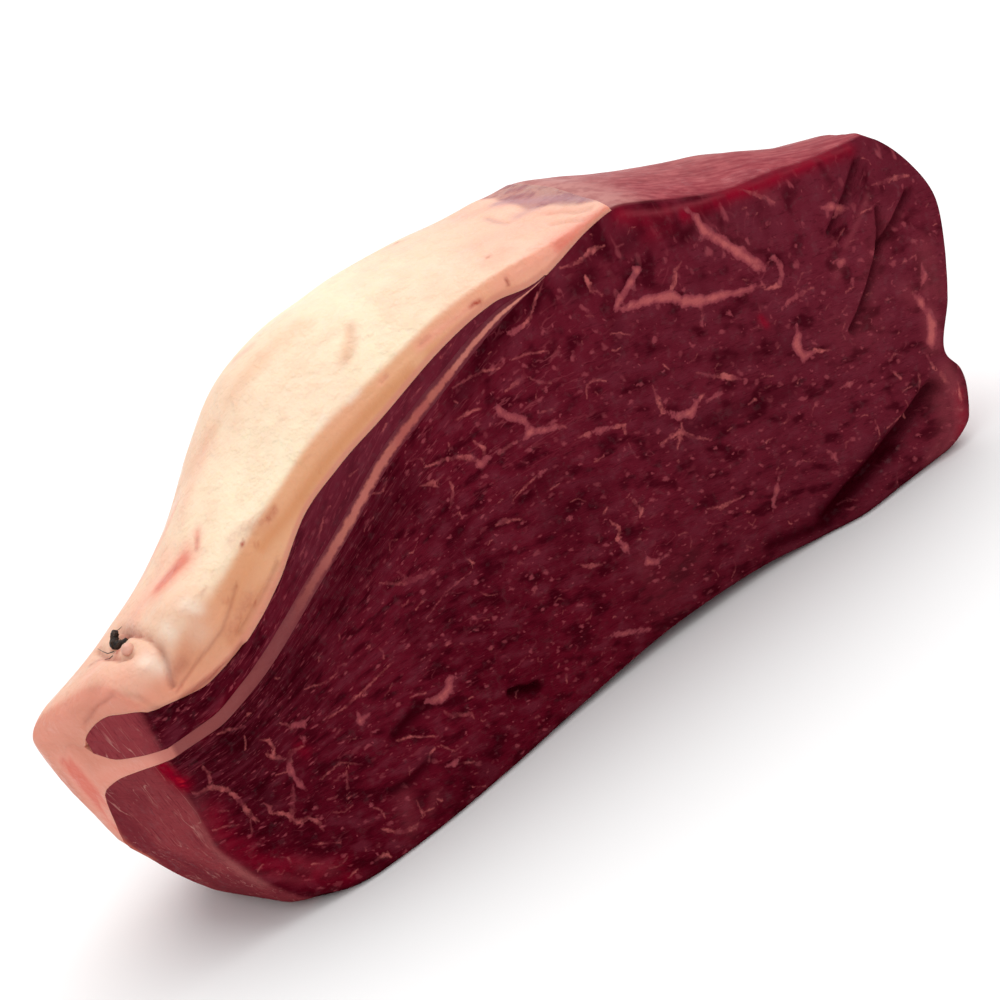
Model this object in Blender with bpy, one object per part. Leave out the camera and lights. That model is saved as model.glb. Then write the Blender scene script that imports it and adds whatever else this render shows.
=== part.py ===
"""Raw beef silverside joint, standing on the flat base of its lean.

Four tissues run through the joint from its front cut to its back cut: the large lean muscle,
a seam of fat on it, a strip of cap muscle on that, and the outer cap of fat. A cut blood vessel
lies in a hollow of the fat. +X runs from the fat end to the bare end, the front cut faces -Y,
and the origin is the centre of the base.
"""
import bmesh
import bpy
import numpy as np
from mathutils import Vector

MM = 0.001

# Driving dimensions, in millimetres
LENGTH = 268.0              # end wall to end wall, along the base side
GAP = 0.3                   # clearance between neighbouring tissues
STRIP_END = 147.0           # where the cap muscle and the seam run out, along the front cut
FAT_END = 172.0             # where the fat cap runs out
THIN = 0.5                  # least thickness of a tissue where it runs out

# Depth from the front cut to the back cut, at stations along the length
DEPTH = [(0, 64), (30, 72), (70, 83), (150, 85), (210, 76), (240, 67), (268, 60)]

# Heights on the front cut, at stations along the length
LEAN_TOP = [(0, 55), (15, 55), (25, 57), (37, 61), (57, 71), (72, 79), (89, 88.5), (107, 95.5),
            (127, 102.5), (147, 107), (172, 112.5), (183, 109), (195, 104), (210, 99.5),
            (229, 97), (246, 94), (268, 92)]
FAT_TOP = [(0, 75), (12, 78), (24, 82.5), (42, 90), (59, 97), (72, 102.5), (88, 106), (102, 109),
           (116, 112), (137, 113.5), (155, 113), (172, 113.5)]

# Upright thickness of the inner tissues on the front cut, at stations along the length
SEAM = [(0, 3), (11, 3.2), (33, 4), (60, 4.4), (103, 4.3), (125, 3.4), (147, 1.2)]
STRIP = [(0, 11.5), (6, 10), (14, 8), (33, 6), (49, 7.4), (63, 11), (76, 9), (90, 5.4),
         (110, 4.3), (130, 2.2), (147, 0.5)]

# How the tissues on the end wall drop away from the front, at stations across the depth
END_LEAN_DROP = [(0, 0), (10, 2.2), (20, 5.5), (26, 10), (31, 21), (37, 32), (64, 37)]
END_SEAM_EXTRA = [(0, 0), (9, 1), (16, 3), (22, 9), (31, 19), (37, 25), (64, 18)]
END_STRIP_SHARE = [(0, 1), (9, 1.08), (15, 0.9), (19, 0.5), (22, 0.05), (64, 0.05)]
END_REACH = 30.0            # how far that drop carries along the joint

# The outer surface rises behind the front cut, then rounds over the back
CROWN = [(0, 2), (42, 4), (60, 8), (75, 12.5), (90, 14.5), (105, 12.5), (125, 9), (150, 6),
         (172, 5), (205, 6.3), (222, 5.5), (240, 3.5), (255, 1.5), (268, 0)]
BACK_DROP = [(0, 30), (40, 30), (80, 26), (150, 24), (200, 24), (240, 22), (268, 20)]
BACK_START = [(0, 0.05), (24, 0.2), (42, 0.32), (60, 0.55), (90, 0.68), (150, 0.68), (190, 0.6),
              (235, 0.3), (268, 0.1)]
FRONT_DROP = [(0, 6), (28, 5), (44, 2), (60, 0.8), (172, 0.3)]
FRONT_ROUND = 9.0

# Shares of that rise and fall that the top of the lean takes
RISE_START = 117.0
FALL_SHARE = [(0, 0), (40, 0.55), (80, 0.85), (150, 0.95), (172, 1), (268, 1)]

# How far each wall stands in from its widest place, at stations up the joint
FOOT_FRONT = [(0, 3), (1.2, 1.6), (3.5, 0.5), (7, 0), (200, 0)]
FOOT_BACK = [(0, 14), (3, 9), (8, 5), (16, 1.5), (28, 0), (75, 0), (105, 7), (125, 16)]
FOOT_LEFT = [(0, 17), (2.5, 13), (7, 9.5), (12, 6.5), (20, 3), (30, 0), (200, 0)]
END_RIGHT = [(0, 28), (4, 22), (11, 17), (19, 15.5), (25, 17.5), (39, 9.5), (54, 4), (65, 2),
             (77, 5.5), (88, 12.5), (95, 20)]
ARCH = [(90, 0), (120, 2), (148, 3.2), (175, 2.2), (195, 0.4), (210, 0)]
ARCH_DEPTH = 22.0
BELLY = [(0, 1), (12, 5), (26, 8), (40, 8.5), (60, 7.5), (80, 4.5), (105, 0), (145, -4), (175, -3), (195, 1),
         (215, 5), (235, 4), (268, 3)]
BELLY_HEIGHT = 48.0
FOOT_FADE_LEFT = 80.0
FOOT_FADE_RIGHT = 110.0

# The fat end wall leans out to a blunt tip behind the front cut
WALL_X = 3.0
WALL_SLANT = [(0, 0.24), (20, 0.29), (35, 0.38), (50, 0.48), (62, 0.52), (72, 0.5), (82, 0.4)]
TIP_DEPTH = 35.0            # the tip's distance behind the front cut
CORNER_BACK = 17.0          # how far the back corners round in
CORNER_FRONT = 7.0
CORNER_FOOT = 2.5           # extra rounding of the front corner at the base

# Lumps and hollows of the fat: along, behind the front, height, radius
LUMPS = [(24, 8, 2.4, 8), (4, 14, 1.6, 7), (46, 26, 1.5, 12)]
HOLLOWS = [(33, 28, 1.5, 8)]

# The cut vessel and the pocket in the fat that it lies in
VESSEL_PLACE = (15.0, 21.0)     # along, behind the front
VESSEL_RADIUS = 1.1
VESSEL_SPAN = 5.4
VESSEL_BEND = 1.6
VESSEL_RISE = 1.2
POCKET = (3.6, 4.3, 3.3)        # half sizes along, across and up
POCKET_LIFT = 0.9

# Grid of the tissues
COLUMNS = [(0.0, STRIP_END, 24), (STRIP_END, FAT_END, 4), (FAT_END, LENGTH, 16)]
ROWS = [0, 0.025, 0.08, 0.17, 0.29, 0.42, 0.55, 0.68, 0.8, 0.9, 0.97, 1]
LEAN_LEVELS = [0, 0.014, 0.04, 0.08, 0.14, 0.24, 0.38, 0.54, 0.7, 0.86, 1]
FAT_LEVELS = [0, 0.35, 0.7, 1]
INNER_LEVELS = [0, 1]


def smooth(stations, at):
    """Read a smooth curve through the stations, with no overshoot between them."""
    x, y = np.array(stations, float).T
    step = np.diff(x)
    rise = np.diff(y) / step
    slope = np.concatenate([[rise[0]], (rise[:-1] + rise[1:]) / 2, [rise[-1]]])
    turning = np.concatenate([[False], rise[:-1] * rise[1:] <= 0, [False]])
    slope[turning] = 0
    at = np.clip(at, x[0], x[-1])
    i = np.clip(np.searchsorted(x, at, side="right") - 1, 0, len(step) - 1)
    t = (at - x[i]) / step[i]
    near = (2 * t ** 3 - 3 * t ** 2 + 1) * y[i] + (t ** 3 - 2 * t ** 2 + t) * step[i] * slope[i]
    far = (3 * t ** 2 - 2 * t ** 3) * y[i + 1] + (t ** 3 - t ** 2) * step[i] * slope[i + 1]
    return near + far


def ramp(low, high, at):
    """Ease from 0 at low to 1 at high."""
    t = np.clip((at - low) / (high - low), 0, 1)
    return t * t * (3 - 2 * t)


def end_share(x):
    """Share of the end wall's drop that is left at x."""
    return np.exp(-(np.maximum(x, 0) / END_REACH) ** 2)


def lean_top(x, y):
    """Height of the big muscle under the seam, or under the fat or the air where that has run out."""
    rise = crown_rise(x, y) * ramp(RISE_START, FAT_END, x)
    fall = crown_fall(x, y) * smooth(FALL_SHARE, x)
    return smooth(LEAN_TOP, x) - end_share(x) * smooth(END_LEAN_DROP, y) + rise - fall


def seam_top(x, y):
    """Height of the fat seam between the two muscles."""
    return lean_top(x, y) + smooth(SEAM, x) + end_share(x) * smooth(END_SEAM_EXTRA, y)


def strip_top(x, y):
    """Height of the cap muscle."""
    share = 1 + end_share(x) * (smooth(END_STRIP_SHARE, y) - 1)
    return seam_top(x, y) + np.maximum(smooth(STRIP, x) * share, THIN)


def crown_rise(x, y):
    """Rise of the outer surface behind the front cut."""
    across = y / smooth(DEPTH, x)
    return 4 * smooth(CROWN, x) * across * (1 - across)


def crown_fall(x, y):
    """Fall of the outer surface as it rounds over the back."""
    start = smooth(BACK_START, x)
    over = np.maximum(y / smooth(DEPTH, x) - start, 0) / (1 - start)
    return smooth(BACK_DROP, x) * over ** 2


def bumps(x, y):
    """Lumps and hollows of the fat."""
    total = np.zeros(np.broadcast(x, y).shape)
    for sign, group in ((1, LUMPS), (-1, HOLLOWS)):
        for bump_x, bump_y, height, radius in group:
            away = ((x - bump_x) ** 2 + (y - bump_y) ** 2) / radius ** 2
            total += sign * height * np.exp(-away)
    return total


def fat_top(x, y):
    """Height of the fat cap's outer surface."""
    edge = smooth(FRONT_DROP, x) * np.maximum(1 - y / FRONT_ROUND, 0) ** 2
    outer = smooth(FAT_TOP, x) + crown_rise(x, y) - crown_fall(x, y) + bumps(x, y) - edge
    return np.maximum(outer, under_fat(x, y) + THIN)


def left_wall(y, z):
    """Sideways place of the fat end wall."""
    behind = np.maximum(y - TIP_DEPTH, 0) / (smooth(DEPTH, 0) - TIP_DEPTH)
    front = np.maximum(1 - y / CORNER_FRONT, 0)
    lean_out = smooth(WALL_SLANT, z) * np.minimum(y, TIP_DEPTH)
    corner = (1.6 + CORNER_FOOT * np.maximum(1 - z / 30, 0)) * front ** 2
    return WALL_X - lean_out + CORNER_BACK * behind ** 2 + corner + smooth(FOOT_LEFT, z)


def right_wall(y, z):
    """Sideways place of the bare end wall, from the joint's full length."""
    behind = np.clip(y / smooth(DEPTH, LENGTH), 0, 1)
    front = np.maximum(1 - y / (2 * CORNER_FRONT), 0)
    return -smooth(END_RIGHT, z) - CORNER_BACK * behind ** 2.5 - 1.5 * front ** 2


def place(x, v, z):
    """Put a point of the tissue block where the walls carry it: x along, v across, z up."""
    depth = smooth(DEPTH, x)
    front = smooth(FOOT_FRONT, z) - smooth(BELLY, x) * np.maximum(1 - z / BELLY_HEIGHT, 0) ** 2
    back = depth - smooth(FOOT_BACK, z)
    y = front + v * (back - front)
    left = np.clip(1 - x / FOOT_FADE_LEFT, 0, 1) ** 3
    right = np.clip(1 - (LENGTH - x) / FOOT_FADE_RIGHT, 0, 1) ** 2
    along = x + left * left_wall(v * depth, z) + right * right_wall(v * depth, z)
    return np.stack(np.broadcast_arrays(along, y, z), axis=-1)


def columns(end):
    """Stations along the joint, closer together near its ends."""
    stops = [0.0]
    for low, high, count in COLUMNS:
        t = np.linspace(0, 1, count + 1)[1:]
        if low == 0:
            t = 0.65 * t + 0.35 * t ** 2
        if high == LENGTH:
            t = 1 - (0.6 * (1 - t) + 0.4 * (1 - t) ** 2)
        stops.extend(low + (high - low) * t)
        if high == end:
            break
    return np.array(stops)


def tissue(name, end, lower, upper, levels, colour, roughness):
    """Loft one tissue as a closed block of cells between its lower and its upper surface."""
    x, v, w = np.meshgrid(columns(end), np.array(ROWS), np.array(levels), indexing="ij")
    y = v * smooth(DEPTH, x)
    low = lower(x, y)
    points = place(x, v, low + w * (upper(x, y) - low)) * MM

    index = {}
    verts = []
    faces = []

    def vertex(key):
        if key not in index:
            index[key] = len(verts)
            verts.append(points[key])
        return index[key]

    def patch(axis, side):
        """One side of the block in triangles that point out, split alike on both sides of a seam."""
        first, second = [other for other in range(3) if other != axis]
        last = points.shape[axis] - 1
        outward = (side == 1) == (axis != 1)
        for a in range(points.shape[first] - 1):
            for b in range(points.shape[second] - 1):
                ring = []
                for da, db in ((0, 0), (1, 0), (1, 1), (0, 1)):
                    key = [0, 0, 0]
                    key[axis] = side * last
                    key[first] = a + da
                    key[second] = b + db
                    ring.append(vertex(tuple(key)))
                for half in ((ring[0], ring[1], ring[2]), (ring[0], ring[2], ring[3])):
                    faces.append(half if outward else half[::-1])

    for axis in range(3):
        patch(axis, 0)
        patch(axis, 1)

    mesh = bpy.data.meshes.new(name)
    mesh.from_pydata(verts, [], faces)
    mesh.shade_smooth()
    piece = bpy.data.objects.new(name, mesh)
    joint.objects.link(piece)
    piece.data.materials.append(material(name, colour, roughness))
    return piece


def pocket_centre():
    """Where the surface of the fat would be over the middle of the pocket."""
    x, y = VESSEL_PLACE
    return place(x, y / smooth(DEPTH, x), fat_top(x, y))


def cut_pocket(fat):
    """Sink the vessel's pocket into the fat."""
    mesh = bpy.data.meshes.new("pocket")
    shape = bmesh.new()
    bmesh.ops.create_uvsphere(shape, u_segments=14, v_segments=10, radius=1)
    bmesh.ops.scale(shape, vec=Vector(POCKET) * MM, verts=shape.verts)
    bmesh.ops.translate(shape, vec=(pocket_centre() + (0, 0, POCKET_LIFT)) * MM, verts=shape.verts)
    shape.to_mesh(mesh)
    shape.free()
    cutter = bpy.data.objects.new("pocket", mesh)
    cutter.hide_render = True
    cutter.display_type = "WIRE"
    cutters.objects.link(cutter)
    cut = fat.modifiers.new("pocket", "BOOLEAN")
    cut.operation = "DIFFERENCE"
    cut.solver = "EXACT"
    cut.object = cutter
    return cutter


def vessel():
    """A short bent stub of blood vessel, lying clear of the pocket's floor."""
    curve = bpy.data.curves.new("vessel", "CURVE")
    curve.dimensions = "3D"
    curve.bevel_depth = VESSEL_RADIUS * MM
    curve.bevel_resolution = 2
    curve.use_fill_caps = True
    path = curve.splines.new("POLY")
    along = np.linspace(-1, 1, 9)
    path.points.add(len(along) - 1)
    for point, t in zip(path.points, along):
        bow = VESSEL_BEND * (t * t - 0.5)
        lift = VESSEL_RISE * (t * t + t / 2) - VESSEL_RISE / 2
        point.co = (*((pocket_centre() + (bow, t * VESSEL_SPAN / 2, lift)) * MM), 1)
        point.radius = 1 - 0.35 * t * t
    piece = bpy.data.objects.new("vessel", curve)
    joint.objects.link(piece)
    curve.materials.append(material("vessel", (0.03, 0.02, 0.015), 0.35))
    return piece


def material(name, colour, roughness):
    """A Principled surface for one tissue."""
    surface = bpy.data.materials.new(name)
    surface.use_nodes = True
    shader = surface.node_tree.nodes["Principled BSDF"]
    shader.inputs["Base Color"].default_value = (*colour, 1)
    shader.inputs["Roughness"].default_value = roughness
    shader.inputs["Metallic"].default_value = 0
    return surface


def centre_on_base(pieces, cutter):
    """Move the joint, with its cutter, so that the centre of its base is the origin."""
    bpy.context.view_layer.update()
    corners = [piece.matrix_world @ Vector(c) for piece in pieces for c in piece.bound_box]
    low = np.min(corners, axis=0)
    high = np.max(corners, axis=0)
    shift = Vector((-(low[0] + high[0]) / 2, -(low[1] + high[1]) / 2, -low[2]))
    for piece in (*pieces, cutter):
        piece.location = shift


def above(surface):
    """The same surface, one gap higher, as the underside of the next tissue."""
    return lambda x, y: surface(x, y) + GAP


def under_fat(x, y):
    """Underside of the fat cap: on the cap muscle, and past its end on the lean."""
    return np.where(x <= STRIP_END, strip_top(x, y), lean_top(x, y)) + GAP


def base(x, y):
    """The flat base, which arches a little off the surface along the middle of its front edge."""
    return smooth(ARCH, x) * np.maximum(1 - y / ARCH_DEPTH, 0) ** 2


for old in list(bpy.data.objects):
    bpy.data.objects.remove(old)

joint = bpy.data.collections.new("silverside")
cutters = bpy.data.collections.new("cutters")
bpy.context.scene.collection.children.link(joint)
bpy.context.scene.collection.children.link(cutters)

pieces = [
    tissue("lean", LENGTH, base, lean_top, LEAN_LEVELS, (0.09, 0.008, 0.014), 0.35),
    tissue("fat_seam", STRIP_END, above(lean_top), seam_top, INNER_LEVELS, (0.55, 0.22, 0.17), 0.4),
    tissue("cap_muscle", STRIP_END, above(seam_top), strip_top, INNER_LEVELS, (0.08, 0.008, 0.018), 0.35),
    tissue("fat_cap", FAT_END, under_fat, fat_top, FAT_LEVELS, (0.85, 0.66, 0.5), 0.45),
    vessel(),
]
fat_cap = pieces[3]
centre_on_base(pieces, cut_pocket(fat_cap))
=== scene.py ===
# %% [markdown]
# # A raw beef silverside joint
#
# The joint is one thick piece of meat, cut flat in front and behind. A big dark muscle carries a
# thin seam of fat, a strip of a second muscle and a cap of creamy fat. A cut blood vessel shows in
# a hollow of the fat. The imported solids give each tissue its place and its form. This lesson
# builds the same tissues again as fine meshes, and adds what a solid can't hold: marbling, fibre,
# creases, wetness and the colours of fat and blood.
#
# The frame is loaded first, because every later step is placed by it.

import bpy
import numpy as np
from mathutils import Matrix, Vector
from mathutils.bvhtree import BVHTree


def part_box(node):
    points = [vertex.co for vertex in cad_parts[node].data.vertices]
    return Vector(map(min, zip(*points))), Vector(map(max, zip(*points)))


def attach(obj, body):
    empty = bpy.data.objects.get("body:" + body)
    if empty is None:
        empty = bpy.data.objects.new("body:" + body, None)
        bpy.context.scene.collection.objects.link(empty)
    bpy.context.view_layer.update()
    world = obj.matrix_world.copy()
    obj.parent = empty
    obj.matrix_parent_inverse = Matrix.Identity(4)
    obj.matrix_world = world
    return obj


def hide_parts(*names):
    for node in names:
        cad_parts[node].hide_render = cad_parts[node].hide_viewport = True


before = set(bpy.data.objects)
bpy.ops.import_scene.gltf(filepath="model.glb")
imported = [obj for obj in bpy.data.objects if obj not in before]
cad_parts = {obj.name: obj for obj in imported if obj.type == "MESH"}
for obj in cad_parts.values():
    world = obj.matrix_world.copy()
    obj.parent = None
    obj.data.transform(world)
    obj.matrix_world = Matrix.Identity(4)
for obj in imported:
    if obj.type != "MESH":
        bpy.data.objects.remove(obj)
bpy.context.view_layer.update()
MM = 0.001

# %% [markdown]
# ## The camera
#
# The picture looks at the joint from the left of its front cut, a little from above, and the whole
# picture is turned, so the joint seems to climb to the right. A camera can be aimed with a tracking
# constraint, but that gives no roll. Here its three axes are worked out from a yaw, an elevation
# and a roll, and go straight into its matrix. The same axes later turn a point of the picture into
# a point of the meat.
#
# Lengths are in millimetres from the joint's measuring corner, where the left edge of the front cut
# meets the base.

# %% Camera
LOOK_AT = np.array((125.0, 35.0, 48.0))
YAW = 23.0
ELEVATION = 22.0
ROLL = 25.0
DISTANCE = 750.0
PICTURE = 1000.0                # picture side in pixels
PIXELS_A_MM = 3.75              # at the point looked at
SENSOR = 36.0
CORNER = np.array((-125.24, -39.35, 0.0))   # the measuring corner, from the middle of the base

yaw, rise, roll = np.radians((YAW, ELEVATION, ROLL))
forward = np.array((np.sin(yaw) * np.cos(rise), np.cos(yaw) * np.cos(rise), -np.sin(rise)))
level = np.array((np.cos(yaw), -np.sin(yaw), 0.0))
upright = np.cross(level, forward)
right = level * np.cos(roll) - upright * np.sin(roll)
up = upright * np.cos(roll) + level * np.sin(roll)
eye = LOOK_AT - DISTANCE * forward
FOCAL = PIXELS_A_MM * DISTANCE


def to_world(points):
    """Millimetres from the measuring corner, turned into metres of the frame."""
    return (np.asarray(points, float) + CORNER) * MM


def put(name, data):
    """A new object of the scene."""
    thing = bpy.data.objects.new(name, data)
    bpy.context.scene.collection.objects.link(thing)
    return thing


camera_data = bpy.data.cameras.new("camera")
camera_data.sensor_width = SENSOR
camera_data.lens = FOCAL / PICTURE * SENSOR
camera = put("camera", camera_data)
turn = Matrix((right, up, -forward)).transposed().to_4x4()
camera.matrix_world = Matrix.Translation(to_world(eye)) @ turn
bpy.context.scene.camera = camera
print("lens", round(camera_data.lens, 2), "mm, camera at", [round(c, 3) for c in camera.location])

# %% [markdown]
# ## Floor and light
#
# The joint lies on a plain white ground under very soft light: the top of the fat is brightest, the
# front cut is a little darker, and only a thin shadow lines the base. A softbox would do it, but
# its light falls off over a wide floor. A sun lamp with a very wide disc keeps the floor even, and a
# white surrounding light fills the rest. The plain view transform keeps colours as they are set.

# %% Floor, lamp and surroundings
FLOOR_SIDE = 8.0
FLOOR_WHITE = 0.95
SKY_LIGHT = 0.72
SUN_LIGHT = 1.75
SUN_DISC = 70.0                 # degrees across: the wider, the softer
SUN_FROM = (0.30, 0.30, 1.0)

half = FLOOR_SIDE / 2
floor_mesh = bpy.data.meshes.new("floor")
floor_mesh.from_pydata([(-half, -half, 0), (half, -half, 0), (half, half, 0), (-half, half, 0)],
                       [], [(0, 1, 2, 3)])
floor = put("floor", floor_mesh)
floor_paint = bpy.data.materials.new("floor")
floor_paint.use_nodes = True
floor_shader = floor_paint.node_tree.nodes["Principled BSDF"]
floor_shader.inputs["Base Color"].default_value = (FLOOR_WHITE, FLOOR_WHITE, FLOOR_WHITE, 1)
floor_shader.inputs["Roughness"].default_value = 1.0
floor_shader.inputs["Specular IOR Level"].default_value = 0.0
floor_mesh.materials.append(floor_paint)

sun_data = bpy.data.lights.new("sun", "SUN")
sun_data.energy = SUN_LIGHT
sun_data.angle = np.radians(SUN_DISC)
sun = put("sun", sun_data)
sun.rotation_mode = "QUATERNION"
sun.rotation_quaternion = Vector(SUN_FROM).to_track_quat("Z", "Y")

sky = bpy.data.worlds.new("sky")
sky.use_nodes = True
sky.node_tree.nodes["Background"].inputs["Color"].default_value = (1, 1, 1, 1)
sky.node_tree.nodes["Background"].inputs["Strength"].default_value = SKY_LIGHT
bpy.context.scene.world = sky
bpy.context.scene.view_settings.view_transform = "Standard"
print("floor", FLOOR_SIDE, "m, sun", SUN_LIGHT, "sky", SKY_LIGHT)

# %% [markdown]
# ## The measured form
#
# The joint's form is a set of smooth curves: how deep it is along its length, how high each tissue
# stands on the front cut, and how each wall leans or rounds. They could be drawn as Blender curves,
# but numbers in a table are easier to read, and NumPy works them out for a whole mesh at once. They
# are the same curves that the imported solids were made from, so the fine meshes fill the same space.

# %% Sizes along the joint
LENGTH = 268.0
GAP = 0.3
STRIP_END = 147.0
FAT_END = 172.0
THIN = 0.5

DEPTH = [(0, 64), (30, 72), (70, 83), (150, 85), (210, 76), (240, 67), (268, 60)]
LEAN_TOP = [(0, 55), (15, 55), (25, 57), (37, 61), (57, 71), (72, 79), (89, 88.5), (107, 95.5),
            (127, 102.5), (147, 107), (172, 112.5), (183, 109), (195, 104), (210, 99.5),
            (229, 97), (246, 94), (268, 92)]
FAT_TOP = [(0, 75), (12, 78), (24, 82.5), (42, 90), (59, 97), (72, 102.5), (88, 106), (102, 109),
           (116, 112), (137, 113.5), (155, 113), (172, 113.5)]
SEAM = [(0, 3), (11, 3.2), (33, 4), (60, 4.4), (103, 4.3), (125, 3.4), (147, 1.2)]
STRIP = [(0, 11.5), (6, 10), (14, 8), (33, 6), (49, 7.4), (63, 11), (76, 9), (90, 5.4),
         (110, 4.3), (130, 2.2), (147, 0.5)]
print("length", LENGTH, "mm, depth at the middle", DEPTH[3][1], "mm")

# %% Sizes of the end wall, the crown and the feet
END_LEAN_DROP = [(0, 0), (10, 2.2), (20, 5.5), (26, 10), (31, 21), (37, 32), (64, 37)]
END_SEAM_EXTRA = [(0, 0), (9, 1), (16, 3), (22, 9), (31, 19), (37, 25), (64, 18)]
END_STRIP_SHARE = [(0, 1), (9, 1.08), (15, 0.9), (19, 0.5), (22, 0.05), (64, 0.05)]
END_REACH = 30.0

CROWN = [(0, 2), (42, 4), (60, 8), (75, 12.5), (90, 14.5), (105, 12.5), (125, 9), (150, 6),
         (172, 5), (205, 6.3), (222, 5.5), (240, 3.5), (255, 1.5), (268, 0)]
BACK_DROP = [(0, 30), (40, 30), (80, 26), (150, 24), (200, 24), (240, 22), (268, 20)]
BACK_START = [(0, 0.05), (24, 0.2), (42, 0.32), (60, 0.55), (90, 0.68), (150, 0.68), (190, 0.6),
              (235, 0.3), (268, 0.1)]
FRONT_DROP = [(0, 6), (28, 5), (44, 2), (60, 0.8), (172, 0.3)]
FRONT_ROUND = 9.0
RISE_START = 117.0
FALL_SHARE = [(0, 0), (40, 0.55), (80, 0.85), (150, 0.95), (172, 1), (268, 1)]

FOOT_FRONT = [(0, 3), (1.2, 1.6), (3.5, 0.5), (7, 0), (200, 0)]
FOOT_BACK = [(0, 14), (3, 9), (8, 5), (16, 1.5), (28, 0), (75, 0), (105, 7), (125, 16)]
FOOT_LEFT = [(0, 17), (2.5, 13), (7, 9.5), (12, 6.5), (20, 3), (30, 0), (200, 0)]
END_RIGHT = [(0, 28), (4, 22), (11, 17), (19, 15.5), (25, 17.5), (39, 9.5), (54, 4), (65, 2),
             (77, 5.5), (88, 12.5), (95, 20)]
ARCH = [(90, 0), (120, 2), (148, 3.2), (175, 2.2), (195, 0.4), (210, 0)]
ARCH_DEPTH = 22.0
BELLY = [(0, 1), (12, 5), (26, 8), (40, 8.5), (60, 7.5), (80, 4.5), (105, 0), (145, -4), (175, -3),
         (195, 1), (215, 5), (235, 4), (268, 3)]
BELLY_HEIGHT = 48.0
FOOT_FADE_LEFT = 80.0
FOOT_FADE_RIGHT = 110.0

WALL_X = 3.0
WALL_SLANT = [(0, 0.24), (20, 0.29), (35, 0.38), (50, 0.48), (62, 0.52), (72, 0.5), (82, 0.4)]
TIP_DEPTH = 35.0
CORNER_BACK = 17.0
CORNER_FRONT = 7.0
CORNER_FOOT = 2.5
CORNER_EASE = 1.6               # how far the fat end's front corner draws in, in mm
FOOT_HEIGHT = 30.0              # below this the corner draws in further
END_CORNER = 1.5                # how far the bare end's front corner draws in
END_CORNER_WIDE = 14.0
END_BACK_POWER = 2.5            # how late the bare end wall curves away behind
LUMPS = [(24, 8, 2.4, 8), (4, 14, 1.6, 7), (46, 26, 1.5, 12)]
HOLLOWS = [(33, 28, 1.5, 8)]
VESSEL_PLACE = (15.0, 21.0)
print("crown up to", max(height for _, height in CROWN), "mm over the front cut")

# %% Curves through the sizes
def smooth(stations, at):
    """Read a smooth curve through the stations, with no overshoot between them."""
    x, y = np.array(stations, float).T
    step = np.diff(x)
    rise = np.diff(y) / step
    slope = np.concatenate([[rise[0]], (rise[:-1] + rise[1:]) / 2, [rise[-1]]])
    turning = np.concatenate([[False], rise[:-1] * rise[1:] <= 0, [False]])
    slope[turning] = 0
    at = np.clip(at, x[0], x[-1])
    i = np.clip(np.searchsorted(x, at, side="right") - 1, 0, len(step) - 1)
    t = (at - x[i]) / step[i]
    near = (2 * t ** 3 - 3 * t ** 2 + 1) * y[i] + (t ** 3 - 2 * t ** 2 + t) * step[i] * slope[i]
    far = (3 * t ** 2 - 2 * t ** 3) * y[i + 1] + (t ** 3 - t ** 2) * step[i] * slope[i + 1]
    return near + far


def ramp(low, high, at):
    """Ease from 0 at low to 1 at high."""
    t = np.clip((at - low) / (high - low), 0, 1)
    return t * t * (3 - 2 * t)


def end_share(x):
    """Share of the end wall's drop that is left at x."""
    return np.exp(-(np.maximum(x, 0) / END_REACH) ** 2)


print("lean top at mid length", float(smooth(LEAN_TOP, LENGTH / 2)), "mm")

# %% [markdown]
# ## Surfaces between the tissues
#
# Each tissue is the room between two height surfaces. Fat that lies on muscle has exactly the
# muscle's top as its underside, so no hollow can open between them. The seam and the strip of
# muscle thin out to almost nothing before they end, as they do on the cut.

# %% Height surfaces
TAPER_START = 131.0
TAPER_LEFT = 0.25


def crown_rise(x, y):
    """Rise of the outer surface behind the front cut."""
    across = y / smooth(DEPTH, x)
    return 4 * smooth(CROWN, x) * across * (1 - across)


def crown_fall(x, y):
    """Fall of the outer surface as it rounds over the back."""
    start = smooth(BACK_START, x)
    over = np.maximum(y / smooth(DEPTH, x) - start, 0) / (1 - start)
    return smooth(BACK_DROP, x) * over ** 2


def lean_top(x, y):
    """Height of the big muscle."""
    rise = crown_rise(x, y) * ramp(RISE_START, FAT_END, x)
    fall = crown_fall(x, y) * smooth(FALL_SHARE, x)
    return smooth(LEAN_TOP, x) - end_share(x) * smooth(END_LEAN_DROP, y) + rise - fall


def taper(x):
    """Thin the inner tissues out before their end."""
    return 1 - (1 - TAPER_LEFT) * ramp(TAPER_START, STRIP_END, x)


def seam_top(x, y):
    """Height of the fat seam between the two muscles."""
    return lean_top(x, y) + smooth(SEAM, x) * taper(x) + end_share(x) * smooth(END_SEAM_EXTRA, y)


def strip_top(x, y):
    """Height of the strip of cap muscle."""
    share = 1 + end_share(x) * (smooth(END_STRIP_SHARE, y) - 1)
    return seam_top(x, y) + np.maximum(smooth(STRIP, x) * share, THIN) * taper(x)


def under_fat(x, y):
    """Underside of the fat cap."""
    return np.where(x <= STRIP_END, strip_top(x, y), lean_top(x, y))


def bumps(x, y):
    """Lumps and hollows of the fat."""
    total = np.zeros(np.broadcast(x, y).shape)
    for sign, group in ((1, LUMPS), (-1, HOLLOWS)):
        for bump_x, bump_y, height, radius in group:
            away = ((x - bump_x) ** 2 + (y - bump_y) ** 2) / radius ** 2
            total += sign * height * np.exp(-away)
    return total


def fat_top(x, y):
    """Height of the fat cap's outer surface."""
    edge = smooth(FRONT_DROP, x) * np.maximum(1 - y / FRONT_ROUND, 0) ** 2
    outer = smooth(FAT_TOP, x) + crown_rise(x, y) - crown_fall(x, y) + bumps(x, y) - edge
    return np.maximum(outer, under_fat(x, y) + GAP + THIN)


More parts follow.
